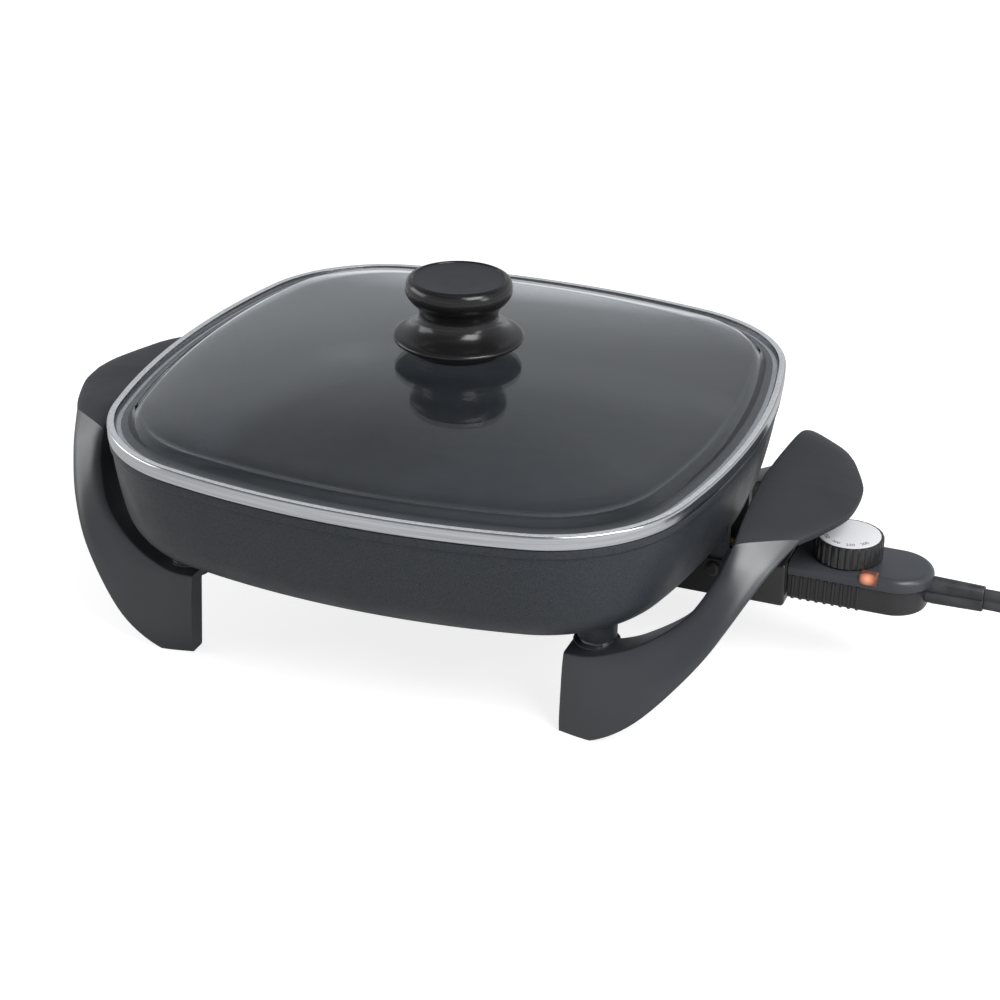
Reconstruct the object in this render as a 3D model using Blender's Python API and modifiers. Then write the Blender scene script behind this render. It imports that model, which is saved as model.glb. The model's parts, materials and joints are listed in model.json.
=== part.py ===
"""Square electric skillet with a lift-off glass lid and a plug-in heat control.

Metres, +Z up, standing on z = 0. The front is towards -Y and the heat control plugs in at +X.
The sizes below are drawn about the pan's centre line. The whole skillet then sits with the
middle of its length, handle to heat control, on the origin.
"""

import math

import bmesh
import bpy
from mathutils import Matrix, Vector

# Clearances and cuts
CLEARANCE = 0.0003
LOOSE_FIT = 0.0005
OVERRUN = 0.002
MERGE = 0.00001
FLAT_ANGLE = math.radians(1)

# Outline shared by the lid and the pan: a square with bowed sides and round corners
LID_HALF = 0.152
SIDE_BOW_RADIUS = 0.398
CORNER_RADIUS = 0.0746
SIDE_STEPS = 6
CORNER_STEPS = 7

# Handle and leg mouldings
FOOT_INSET = 0.0579
FOOT_FRONT_INSET = 0.040
LEDGE_HEIGHT = 0.0402
GRIP_STANDOFF = 0.004
GRIP_WIDTH = 0.0461
GRIP_HEIGHT = 0.0952
GRIP_EDGE_HEIGHT = 0.090
FOOT_WALL = 0.0095
GRIP_WALL = 0.004
FOOT_LEDGE_WIDTH = 0.017
GRIP_LIP_WIDTH = 0.006
LEDGE_THICKNESS = 0.0042
FACE_CROWN = 0.0013
FACE_SHARES = (0.33, 0.67)
HANDLE_STEPS = 2

# Bolted posts between the pan and its legs
POST_INSET_X = 0.0475
POST_INSET_Y = 0.064
POST_RADIUS = 0.0092
POST_LENGTH = 0.0108
POST_SEAT_RADIUS = 0.011
POST_SEAT_THICKNESS = 0.0065
POST_SEAT_STEP = 0.0011
WASHER_RADIUS = 0.0085
WASHER_THICKNESS = 0.0012
SCREW_RADIUS = 0.0021
SCREW_HEAD_RADIUS = 0.0043
SCREW_HEAD_THICKNESS = 0.0024
SCREW_GRIP = 0.0085

# Pan
PAN_HEIGHT = 0.0544
PAN_FLOOR = 0.0035
PAN_WALL_TOP = 0.0052
PAN_WALL_LOW = 0.0032
PAN_FILLET = 0.0246
PAN_LEAN_TOP = math.radians(5.3)
PAN_LEAN_LOW = math.radians(14)
PAN_WALL_SHARES = (1.0, 0.72, 0.4, 0.0)
PAN_FILLET_SHARES = (1.0, 0.78, 0.56, 0.36, 0.18)
RIM_INSET = 0.0006
RIM_LIP_STEP = 0.001
RIM_LIP_HEIGHT = 0.0038
RIM_LEDGE_WIDTH = 0.0046
RIM_BEAD_WIDTH = 0.002
RIM_BEAD_HEIGHT = 0.0013

# Heating element, in a channel cast under the pan
ELEMENT_RADIUS = 0.004
ELEMENT_LOOP_RADIUS = 0.078
ELEMENT_TURN_RADIUS = 0.018
ELEMENT_HALF_SPACING = 0.0125
ELEMENT_END_INSET = 0.034
CHANNEL_WALL = 0.0027
LOOP_STEPS = 30
TURN_STEPS = 4
TERMINAL_RADIUS = 0.0024
TERMINAL_LENGTH = 0.049
SENSOR_BOSS_RADIUS = 0.0062

# Guard plate round the terminals
GUARD_END_INSET = 0.006
GUARD_LENGTH = 0.034
PIN_MARGIN = 0.001
GUARD_SHEET = 0.0015
GUARD_HEIGHT_SHARE = 0.42
GUARD_DROP = 0.0152
LUG_LENGTH = 0.012
LUG_THICKNESS = 0.005
LUG_HEIGHT = 0.0075
LUG_SCREW_DROP = 0.0016
GUARD_SCREW_RADIUS = 0.0019
GUARD_SCREW_HEAD_RADIUS = 0.0036
GUARD_SCREW_HEAD_THICKNESS = 0.0018

# Glass lid
BAND_HEIGHT = 0.007
BAND_SHEET = 0.0007
BAND_ROLL = 0.0016
BAND_LIP = 0.003
BAND_SHELF = 0.0018
GLASS_THICKNESS = 0.0035
GLASS_EDGE = 0.0009
GLASS_FLANGE = 0.0085
GLASS_BEND_RUN = 0.008
GLASS_BEND_RISE = 0.0048
GLASS_BEND_SHARE = 0.42
DOME_RISE = 0.0137
DOME_RING_SHARES = (0.82, 0.62, 0.38, 0.16)
GLASS_HOLE_RADIUS = 0.0032

# Lid knob
SKIRT_RADIUS = 0.0225
SKIRT_HEIGHT = 0.0052
SKIRT_EDGE = 0.0006
KNOB_HEIGHT = 0.0313
KNOB_RADIUS = 0.0318
KNOB_DISH = 0.0007
KNOB_BORE_RADIUS = 0.0026
KNOB_BORE_DEPTH = 0.017
LID_WASHER_RADIUS = 0.0095
LID_WASHER_THICKNESS = 0.0012
LID_SCREW_HEAD_RADIUS = 0.0048
LID_SCREW_HEAD_THICKNESS = 0.0026
KNOB_STEPS = 32

# Heat control housing
HOUSING_HALF_WIDTH = 0.018
HOUSING_LENGTH = 0.0655
HOUSING_BASE_HEIGHT = 0.013
HOUSING_COVER_HEIGHT = 0.0062
HOUSING_DROP = 0.0087
HOUSING_WALL = 0.002
COVER_EDGE = 0.0034
BASE_INSET = 0.0013
BASE_SHORTENING = 0.0007
HOUSING_END_STEPS = 12
GRIP_RIB_COUNT = 9
GRIP_RIB_WIDTH = 0.0014
GRIP_RIB_PITCH = 0.00387
GRIP_RIB_DEPTH = 0.0011
HOOD_LENGTH = 0.0255
HOOD_HALF_WIDTH = 0.022
HOOD_DROP = 0.0114
HOOD_WALL = 0.0022
HOOD_EDGE = 0.0018
HOOD_GAP = 0.003

# Heat control insides
SENSOR_RADIUS = 0.003
SENSOR_LENGTH = 0.079
SENSOR_END_PLAY = 0.0096
CONTACT_BLOCK_LENGTH = 0.0085
CONTACT_BLOCK_HEIGHT = 0.014
SLEEVE_WALL = 0.0008
SLEEVE_LENGTH = 0.018
STACK_LENGTH = 0.0085
STACK_HALF_WIDTH = 0.005
STACK_BASE_HEIGHT = 0.0034
STACK_SPACER_HEIGHT = 0.0024
SPRING_THICKNESS = 0.0007
SPRING_LENGTH = 0.0285
SPRING_HALF_WIDTH = 0.0025
CONTACT_RADIUS = 0.0016
LENS_LENGTH = 0.009
LENS_DEPTH = 0.007
LENS_HEIGHT = 0.0052
LENS_PROUD = 0.0005
LENS_EDGE = 0.0013
LENS_FROM_DIAL = 0.0137
LAMP_RADIUS = 0.0024
LAMP_LENGTH = 0.011
COVER_BOSS_RADIUS = 0.003
HOUSING_SCREW_RADIUS = 0.0013
HOUSING_SCREW_HEAD_RADIUS = 0.0026
HOUSING_SCREW_HEAD_THICKNESS = 0.0014
HOUSING_SCREW_GRIP = 0.006

# Dial
DIAL_FROM_HOOD = 0.0243
DIAL_RADIUS = 0.0165
DIAL_HEIGHT = 0.0108
DIAL_FLUTES = 30
DIAL_FLUTE_DEPTH = 0.0006
DIAL_RIM = 0.0013
DIAL_FACE_THICKNESS = 0.0009
SHAFT_RADIUS = 0.0026
SHAFT_COLLAR_RADIUS = 0.0052
SHAFT_COLLAR_HEIGHT = 0.0012

# Cord, a flat twin lead that stands on its edge
CORD_WIDTH = 0.0104
CORD_THICKNESS = 0.0052
CORD_GROOVE_SHARE = 0.72
RELIEF_LENGTH = 0.024
RELIEF_WIDTH = 0.0138
RELIEF_THICKNESS = 0.0086
RELIEF_ROOT = 0.002
RELIEF_END_WIDTH = 0.0128
RELIEF_END_THICKNESS = 0.0074
RELIEF_EDGE = 0.0008
COIL_START_RADIUS = 0.066
COIL_PITCH = 0.0059
COIL_TURNS = 1.4
COIL_POINTS_PER_TURN = 24
TAIL_RADIUS = 0.034
TAIL_TURN = math.radians(120)
PLUG_LENGTH = 0.034
PLUG_WIDTH = 0.0235
PLUG_THICKNESS = 0.0124
PLUG_EDGE = 0.003
BLADE_LENGTH = 0.0165
BLADE_WIDTH = 0.0063
BLADE_THICKNESS = 0.0015
BLADE_SPACING = 0.0127

# The lead's route from the strain relief to its coil, in metres from the relief's end
LEAD_ROUTE = (
    (0.000, 0.000, 0.0000),
    (0.008, 0.000, -0.0001),
    (0.018, 0.000, -0.0012),
    (0.030, 0.000, -0.0050),
    (0.044, 0.000, -0.0128),
    (0.058, 0.000, -0.0230),
    (0.072, 0.000, -0.0330),
    (0.086, 0.000, -0.0402),
    (0.099, 0.000, -0.0438),
    (0.110, 0.000, -0.0447),
    (0.118, 0.000, -0.0447),
)

# The moulding's two long edges, from the front foot's end to the middle of the grip.
# Each row gives the share of its run outwards, forwards and upwards.
UPPER_EDGE_SHARES = (
    (0.00, 0.934, 0.00),
    (0.23, 0.933, 0.02),
    (0.55, 0.892, 0.155),
    (0.835, 0.812, 0.385),
    (0.985, 0.716, 0.652),
    (1.04, 0.661, 0.80),
    (1.07, 0.603, 0.913),
    (1.058, 0.464, 1.005),
    (1.02, 0.223, 1.004),
    (1.00, 0.00, 1.00),
)
LOWER_EDGE_SHARES = (
    (0.00, 0.961, 0.00),
    (0.145, 0.988, 0.00),
    (0.342, 0.986, 0.161),
    (0.545, 0.902, 0.443),
    (0.667, 0.791, 0.674),
    (0.767, 0.625, 0.869),
    (0.856, 0.433, 0.988),
    (0.906, 0.341, 0.994),
    (0.985, 0.143, 0.994),
    (1.00, 0.00, 1.00),
)
# How far each row's wall, and then its ledge, has gone from the foot's size to the grip's
WALL_SHARES = (0.0, 0.0, 0.35, 0.6, 0.78, 0.88, 0.95, 1.0, 1.0, 1.0)
LEDGE_SHARES = (0.0, 0.0, 0.1, 0.15, 0.15, 0.12, 0.28, 0.55, 0.9, 1.0)
CREASE_ROW = 6

# The knob's side, from the edge of its matte top down over its waist to the rim of its flange.
# Each row gives the share of the flange's radius and of the knob's height.
KNOB_SIDE_SHARES = (
    (0.708, 1.000),
    (0.764, 0.980),
    (0.802, 0.925),
    (0.818, 0.834),
    (0.802, 0.745),
    (0.738, 0.655),
    (0.652, 0.570),
    (0.606, 0.470),
    (0.606, 0.375),
    (0.636, 0.285),
    (0.714, 0.200),
    (0.830, 0.142),
    (0.945, 0.110),
    (0.990, 0.083),
    (1.000, 0.050),
    (0.985, 0.018),
    (0.955, 0.000),
)

# A pan-head screw's head, as shares of its radius and of its thickness
SCREW_HEAD_SHARES = ((0.0, 1.0), (0.6, 1.0), (1.0, 0.45), (1.0, 0.0))

# The plug's sections, as shares of its length, of its width and of its thickness
PLUG_SHARES = (
    (0.00, 0.33, 0.92),
    (0.12, 0.50, 0.94),
    (0.38, 0.72, 1.00),
    (0.62, 0.80, 1.00),
    (0.86, 1.00, 1.00),
    (1.00, 1.00, 1.00),
)

# Levels and places that follow from the sizes above
SEAT_TOP = LEDGE_HEIGHT + POST_SEAT_STEP
WASHER_BOTTOM = SEAT_TOP + CLEARANCE
POST_BOTTOM = WASHER_BOTTOM + WASHER_THICKNESS + CLEARANCE
PAN_UNDER = POST_BOTTOM + POST_LENGTH
PAN_RIM = PAN_UNDER + PAN_HEIGHT
LID_BOTTOM = PAN_RIM + CLEARANCE
LID_TOP = LID_BOTTOM + BAND_HEIGHT
GLASS_TOP = LID_TOP - BAND_SHEET - CLEARANCE
GLASS_BOTTOM = GLASS_TOP - GLASS_THICKNESS
BEND_TOP = GLASS_TOP + GLASS_BEND_RISE
DOME_TOP = BEND_TOP + DOME_RISE
GLASS_EDGE_INSET = BAND_SHEET + CLEARANCE
DOME_INSET = GLASS_EDGE_INSET + GLASS_FLANGE + GLASS_BEND_RUN
SKIRT_BOTTOM = DOME_TOP + CLEARANCE
KNOB_BOTTOM = SKIRT_BOTTOM + SKIRT_HEIGHT + CLEARANCE
FOOT_X = LID_HALF - FOOT_INSET
FOOT_FRONT = LID_HALF - FOOT_FRONT_INSET
GRIP_INNER = LID_HALF + GRIP_STANDOFF
GRIP_OUTER = GRIP_INNER + GRIP_WIDTH
POST_X = LID_HALF - POST_INSET_X
POST_Y = LID_HALF - POST_INSET_Y
ELEMENT_Z = PAN_UNDER - ELEMENT_RADIUS - CLEARANCE
CHANNEL_BOTTOM = ELEMENT_Z - ELEMENT_RADIUS - CLEARANCE
ELEMENT_END = LID_HALF - ELEMENT_END_INSET
GUARD_END = LID_HALF - GUARD_END_INSET
GUARD_BOTTOM = PAN_UNDER - GUARD_DROP
LUG_INNER = ELEMENT_HALF_SPACING + TERMINAL_RADIUS + PIN_MARGIN
GUARD_HALF_WIDTH = LUG_INNER + LUG_THICKNESS + CLEARANCE + GUARD_SHEET
HOOD_START = GUARD_END + HOOD_GAP
HOOD_END = HOOD_START + HOOD_LENGTH
HOUSING_START = HOOD_END + CLEARANCE
HOUSING_END = HOUSING_START + HOUSING_LENGTH
SENSOR_TIP = HOUSING_START + HOUSING_WALL / 2 - SENSOR_LENGTH
SENSOR_BORE_START = SENSOR_TIP - SENSOR_END_PLAY
SENSOR_BOSS_START = SENSOR_BORE_START - PAN_WALL_LOW
END_CENTRE = HOUSING_END - HOUSING_HALF_WIDTH
BASE_HALF_WIDTH = HOUSING_HALF_WIDTH - BASE_INSET
BASE_END = HOUSING_END - BASE_INSET - BASE_SHORTENING
HOUSING_BOTTOM = ELEMENT_Z - HOUSING_DROP
COVER_BOTTOM = HOUSING_BOTTOM + HOUSING_BASE_HEIGHT + CLEARANCE
HOUSING_TOP = COVER_BOTTOM + HOUSING_COVER_HEIGHT
HOOD_BOTTOM = ELEMENT_Z - HOOD_DROP
DIAL_X = HOOD_END + DIAL_FROM_HOOD
DIAL_BOTTOM = HOUSING_TOP + LOOSE_FIT
DIAL_TOP = DIAL_BOTTOM + DIAL_HEIGHT
RELIEF_Z = HOUSING_BOTTOM + (HOUSING_TOP - HOUSING_BOTTOM) / 2
RELIEF_END = HOUSING_END + RELIEF_LENGTH
CORD_START = RELIEF_END + CLEARANCE
MIDDLE_X = (HOUSING_END - GRIP_OUTER) / 2

COLOURS = {
    "nonstick_cast": ((0.055, 0.060, 0.068), 0.42, 0.35),
    "phenolic_black": ((0.018, 0.019, 0.021), 0.48, 0.0),
    "phenolic_gloss": ((0.008, 0.008, 0.009), 0.18, 0.0),
    "tempered_glass": ((0.62, 0.68, 0.72), 0.04, 0.0),
    "band_steel": ((0.72, 0.73, 0.74), 0.24, 1.0),
    "plated_steel": ((0.55, 0.56, 0.58), 0.34, 1.0),
    "sheath_steel": ((0.20, 0.19, 0.18), 0.50, 0.9),
    "contact_brass": ((0.72, 0.52, 0.22), 0.32, 1.0),
    "ceramic_white": ((0.78, 0.76, 0.71), 0.60, 0.0),
    "dial_silver": ((0.74, 0.75, 0.77), 0.38, 0.2),
    "lamp_amber": ((0.90, 0.22, 0.05), 0.20, 0.0),
    "lamp_glass": ((0.80, 0.55, 0.40), 0.08, 0.0),
    "cord_rubber": ((0.016, 0.016, 0.018), 0.55, 0.0),
}


def clear_scene():
    """Empty the file of the objects that it opened with."""
    for obj in list(bpy.data.objects):
        bpy.data.objects.remove(obj, do_unlink=True)


def make_collection(name):
    """A collection of this name under the scene."""
    collection = bpy.data.collections.new(name)
    bpy.context.scene.collection.children.link(collection)
    return collection


def make_material(name):
    """A plain surface with the colour, roughness and metallic value of one finish."""
    colour, roughness, metallic = COLOURS[name]
    material = bpy.data.materials.new(name)
    material.use_nodes = True
    shader = material.node_tree.nodes["Principled BSDF"]
    shader.inputs["Base Color"].default_value = (*colour, 1.0)
    shader.inputs["Roughness"].default_value = roughness
    shader.inputs["Metallic"].default_value = metallic
    return material


clear_scene()
SKILLET = make_collection("electric_skillet")
CUTTERS = make_collection("cutters")
FINISHES = {name: make_material(name) for name in COLOURS}


def make_frame(name, origin, parent=None):
    """An empty that carries pieces which move together, at a point of their joint's axis."""
    empty = bpy.data.objects.new(name, None)
    SKILLET.objects.link(empty)
    empty["pan_place"] = tuple(origin)
    empty.location = Vector(origin)
    if parent is not None:
        empty.parent = parent
        empty.location -= Vector(parent["pan_place"])
    return empty


WHOLE = make_frame("skillet", (0.0, 0.0, 0.0))
WHOLE.location.x = -MIDDLE_X
LID = make_frame("lid", (0.0, 0.0, LID_BOTTOM), WHOLE)
CONTROL = make_frame("heat_control", (HOOD_START, 0.0, ELEMENT_Z), WHOLE)
DIAL = make_frame("dial_axis", (DIAL_X, 0.0, DIAL_BOTTOM), CONTROL)


def settle(obj, finish, frame, cutter=False):
    """Hang an object on its frame, with its finish, or among the cutters."""
    obj.parent = frame
    obj.location -= Vector(frame["pan_place"])
    if cutter:
        CUTTERS.objects.link(obj)
        obj.hide_render = True
        obj.display_type = "WIRE"
    else:
        SKILLET.objects.link(obj)
        obj.data.materials.append(FINISHES[finish])
    return obj


def add_mesh(name, bm, finish, frame, cutter=False):
    """An object from a closed bmesh drawn about the pan's centre line."""
    bmesh.ops.recalc_face_normals(bm, faces=bm.faces)
    origin = Vector(frame["pan_place"])
    bmesh.ops.translate(bm, verts=bm.verts, vec=-origin)
    mesh = bpy.data.meshes.new(name)
    bm.to_mesh(mesh)
    bm.free()
    mesh.shade_smooth()
    mesh.set_sharp_from_angle(angle=math.radians(30))
    obj = bpy.data.objects.new(name, mesh)
    obj.location = origin
    return settle(obj, finish, frame, cutter)


def add_turned(name, profile, place, finish, frame, steps=32, turn=None, ring=False):
    """A turned piece: (radius, height) points down its outer side, about +Z from its place."""
    bm = bmesh.new()
    points = [bm.verts.new((radius, 0.0, height)) for radius, height in profile]
    following = points[1:] + points[:1] if ring else points[1:]
    for a, b in zip(points, following):
        bm.edges.new((a, b))
    mesh = bpy.data.meshes.new(name)
    bm.to_mesh(mesh)
    bm.free()
    obj = bpy.data.objects.new(name, mesh)
    obj.location = Vector(place)
    if turn is not None:
        obj.rotation_euler = turn
    screw = obj.modifiers.new("turn", "SCREW")
    screw.steps = steps
    screw.render_steps = steps
    screw.use_merge_vertices = True
    screw.merge_threshold = MERGE
    screw.use_smooth_shade = True
    return settle(obj, finish, frame)


def add_cylinder(name, start, end, radius, finish, frame, steps=20, cutter=False):
    """A round bar between two points."""
    start = Vector(start)
    run = Vector(end) - start
    bm = bmesh.new()
    bmesh.ops.create_cone(
        bm, cap_ends=True, segments=steps, radius1=radius, radius2=radius, depth=run.length
    )
    turn = run.to_track_quat("Z", "Y").to_matrix().to_4x4()
    bmesh.ops.transform(bm, matrix=Matrix.Translation(start + run / 2) @ turn, verts=bm.verts)
    return add_mesh(name, bm, finish, frame, cutter)


def box_mesh(low, high):
    """A bmesh box between two corners."""
    low, high = Vector(low), Vector(high)
    bm = bmesh.new()
    bmesh.ops.create_cube(bm, size=1.0)
    bmesh.ops.scale(bm, vec=high - low, verts=bm.verts)
    bmesh.ops.translate(bm, vec=(low + high) / 2, verts=bm.verts)
    return bm


def add_box(name, low, high, finish, frame, edge=0.0, cutter=False):
    """A box with its edges rounded by an edge radius."""
    obj = add_mesh(name, box_mesh(low, high), finish, frame, cutter)
    if edge:
        bevel = obj.modifiers.new("edges", "BEVEL")
        bevel.width = edge
        bevel.segments = 3
    return obj


def add_slab(name, outline_points, low, high, finish, frame, cutter=False, plan=True):
    """A flat outline raised from one level to another, in plan or in side view."""
    curve = bpy.data.curves.new(name, "CURVE")
    curve.dimensions = "2D"
    curve.fill_mode = "BOTH"
    curve.extrude = (high - low) / 2
    spline = curve.splines.new("POLY")
    spline.points.add(len(outline_points) - 1)
    for point, (u, v) in zip(spline.points, outline_points):
        point.co = (u, v, 0.0, 1.0)
    spline.use_cyclic_u = True
    flat = bpy.data.objects.new(name + "_outline", curve)
    bpy.context.scene.collection.objects.link(flat)
    depsgraph = bpy.context.evaluated_depsgraph_get()
    mesh = bpy.data.meshes.new_from_object(flat.evaluated_get(depsgraph))
    bpy.data.objects.remove(flat)
    bm = bmesh.new()
    bm.from_mesh(mesh)
    bmesh.ops.remove_doubles(bm, verts=bm.verts, dist=MERGE)
    middle = (low + high) / 2
    if plan:
        place = Matrix.Translation((0.0, 0.0, middle))
    else:
        place = Matrix.Translation((0.0, middle, 0.0)) @ Matrix.Rotation(math.pi / 2, 4, "X")
    bmesh.ops.transform(bm, matrix=place, verts=bm.verts)
    return add_mesh(name, bm, finish, frame, cutter)


def add_tube(name, points, radius, finish, frame):
    """A round tube along a run of points."""
    curve = bpy.data.curves.new(name, "CURVE")
    curve.dimensions = "3D"
    curve.bevel_depth = radius
    curve.bevel_resolution = 2
    curve.use_fill_caps = True
    spline = curve.splines.new("POLY")
    spline.points.add(len(points) - 1)
    origin = Vector(frame["pan_place"])
    for point, place in zip(spline.points, points):
        point.co = (*(Vector(place) - origin), 1.0)
    obj = bpy.data.objects.new(name, curve)
    obj.location = origin
    return settle(obj, finish, frame)


def combine(target, tool, operation="DIFFERENCE", solver="EXACT"):
    """Cut a tool from a piece, or join it on."""
    change = target.modifiers.new(tool.name, "BOOLEAN")
    change.operation = operation
    change.solver = solver
    change.object = tool


def loft(rings, closed=False, caps=True):
    """One skin through rings of like count; closed joins the last ring to the first."""
    bm = bmesh.new()
    loops = [[bm.verts.new(point) for point in ring] for ring in rings]
    pairs = list(zip(loops, loops[1:]))
    if closed:
        pairs.append((loops[-1], loops[0]))
    for ring_a, ring_b in pairs:
        for i in range(len(ring_a)):
            j = (i + 1) % len(ring_a)
            bm.faces.new((ring_a[i], ring_a[j], ring_b[j], ring_b[i]))
    if caps and not closed:
        bm.faces.new(loops[0])
        bm.faces.new(loops[-1])
    return bm


def outline(inset, height):
    """The bowed square of pan and lid, drawn in by an inset, at one height."""
    side_centre = LID_HALF - SIDE_BOW_RADIUS
    reach = SIDE_BOW_RADIUS - CORNER_RADIUS
    corner = (side_centre + math.sqrt(2 * reach**2 - side_centre**2)) / 2
    swing = math.atan2(corner, corner - side_centre)
    points = []
    for quarter in range(4):
        turn = Matrix.Rotation(quarter * math.pi / 2, 2)
        for step in range(SIDE_STEPS):
            angle = swing * (2 * step / SIDE_STEPS - 1)
            radius = SIDE_BOW_RADIUS - inset
            point = Vector((side_centre + radius * math.cos(angle), radius * math.sin(angle)))
            points.append((*(turn @ point), height))
        for step in range(CORNER_STEPS):
            angle = swing + (math.pi / 2 - 2 * swing) * step / CORNER_STEPS
            radius = CORNER_RADIUS - inset
            point = Vector((corner + radius * math.cos(angle), corner + radius * math.sin(angle)))
            points.append((*(turn @ point), height))
    return points


def wall_inset(share):
    """The outer wall's inset and height, from the rim's lip at 0 to the fillet at 1."""
    top = PAN_RIM - RIM_LIP_HEIGHT - RIM_LIP_STEP
    low = PAN_UNDER + PAN_FILLET * (1 - math.sin(PAN_LEAN_LOW))
    drop = (top - low) * share
    lean = math.tan(PAN_LEAN_TOP)
    extra = (math.tan(PAN_LEAN_LOW) - lean) * share / 2
    return RIM_INSET + RIM_LIP_STEP + drop * (lean + extra), top - drop


def fillet_point(radius, share):
    """A point of the round between the wall and the bottom, from the wall at 0 to flat at 1."""
    inset, height = wall_inset(1.0)
    centre_inset = inset + PAN_FILLET * math.cos(PAN_LEAN_LOW)
    centre_height = height + PAN_FILLET * math.sin(PAN_LEAN_LOW)
    angle = PAN_LEAN_LOW + (math.pi / 2 - PAN_LEAN_LOW) * share
    return centre_inset - radius * math.cos(angle), centre_height - radius * math.sin(angle)


def pan_profile():
    """(inset, height) from the bottom's edge outside, over the rim, to the floor's edge inside."""
    inner_radius = PAN_FILLET - PAN_WALL_LOW
    outer = [fillet_point(PAN_FILLET, share) for share in PAN_FILLET_SHARES]
    outer += [wall_inset(share) for share in PAN_WALL_SHARES]
    lip_low = PAN_RIM - RIM_LIP_HEIGHT
    bead = RIM_INSET + RIM_LEDGE_WIDTH
    rim = [
        (RIM_INSET, lip_low),
        (RIM_INSET, PAN_RIM),
        (bead, PAN_RIM),
        (bead, PAN_RIM + RIM_BEAD_HEIGHT),
        (bead + RIM_BEAD_WIDTH, PAN_RIM + RIM_BEAD_HEIGHT),
    ]
    inner = []
    for share in reversed(PAN_WALL_SHARES):
        inset, height = wall_inset(share)
        wall = PAN_WALL_TOP + (PAN_WALL_LOW - PAN_WALL_TOP) * share
        inner.append((inset + wall, height))
    floor = PAN_UNDER + PAN_FLOOR
    shift = inner[-1][0] - fillet_point(inner_radius, 0.0)[0]
    for share in reversed(PAN_FILLET_SHARES):
        inset, height = fillet_point(inner_radius, share)
        lift = (floor - PAN_UNDER - PAN_WALL_LOW) * share
        inner.append((inset + shift, height + lift))
    return outer + rim + inner


def surface_height(x):
    """The height of the pan's outer skin on its centre line, at a distance out from the middle."""
    inset = LID_HALF - x
    samples = [fillet_point(PAN_FILLET, share / 20) for share in range(20, -1, -1)]
    samples += [wall_inset(share / 20) for share in range(19, -1, -1)]
    for (inset_a, height_a), (inset_b, height_b) in zip(samples, samples[1:]):
        if inset_b <= inset <= inset_a:
            share = (inset_a - inset) / (inset_a - inset_b)
            return height_a + (height_b - height_a) * share
    return PAN_UNDER if inset > samples[0][0] else samples[-1][1]


def element_path():
    """The heating element's centre line: in from one terminal, round the loop and out again."""
    turn_y = ELEMENT_HALF_SPACING + ELEMENT_TURN_RADIUS
    reach = ELEMENT_LOOP_RADIUS + ELEMENT_TURN_RADIUS
    turn_x = math.sqrt(reach**2 - turn_y**2)
    meet = math.atan2(turn_y, turn_x)
    half = [(ELEMENT_END, ELEMENT_HALF_SPACING)]
    for step in range(TURN_STEPS + 1):
        angle = -math.pi / 2 - (math.pi / 2 - meet) * step / TURN_STEPS
        x = turn_x + ELEMENT_TURN_RADIUS * math.cos(angle)
        y = turn_y + ELEMENT_TURN_RADIUS * math.sin(angle)
        half.append((x, y))
    for step in range(1, LOOP_STEPS // 2 + 1):
        angle = meet + (math.pi - meet) * step / (LOOP_STEPS // 2)
        x = ELEMENT_LOOP_RADIUS * math.cos(angle)
        y = ELEMENT_LOOP_RADIUS * math.sin(angle)
        half.append((x, y))
    return half + [(x, -y) for x, y in reversed(half[:-1])]


def channel_ring(path, i):
    """The channel's section at a point of the element's path: two walls and a top in the pan."""
    before = Vector(path[max(i - 1, 0)])
    after = Vector(path[min(i + 1, len(path) - 1)])
    along = (after - before).normalized()
    across = Vector((-along.y, along.x))
    inner = ELEMENT_RADIUS + CLEARANCE
    outer = inner + CHANNEL_WALL
    ceiling = PAN_UNDER + CLEARANCE
    section = (
        (outer, CHANNEL_BOTTOM),
        (outer, PAN_UNDER + PAN_FLOOR / 2),
        (-outer, PAN_UNDER + PAN_FLOOR / 2),
        (-outer, CHANNEL_BOTTOM),
        (-inner, CHANNEL_BOTTOM),
        (-inner, ceiling),
        (inner, ceiling),
        (inner, CHANNEL_BOTTOM),
    )
    return [(*(Vector(path[i]) + across * width), height) for width, height in section]


def lug_outline():
    """Side view of a guard lug: flat below, and following the pan's skin above."""
    start = GUARD_END - LUG_LENGTH - LOOSE_FIT
    end = GUARD_END - LOOSE_FIT
    count = 4
    top = []
    for step in range(count + 1):
        x = end + (start - end) * step / count
        top.append((x, surface_height(x) + PAN_WALL_LOW / 2))
    bottom = PAN_UNDER - LUG_HEIGHT
    return [(start, bottom), (end, bottom)] + top


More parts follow.
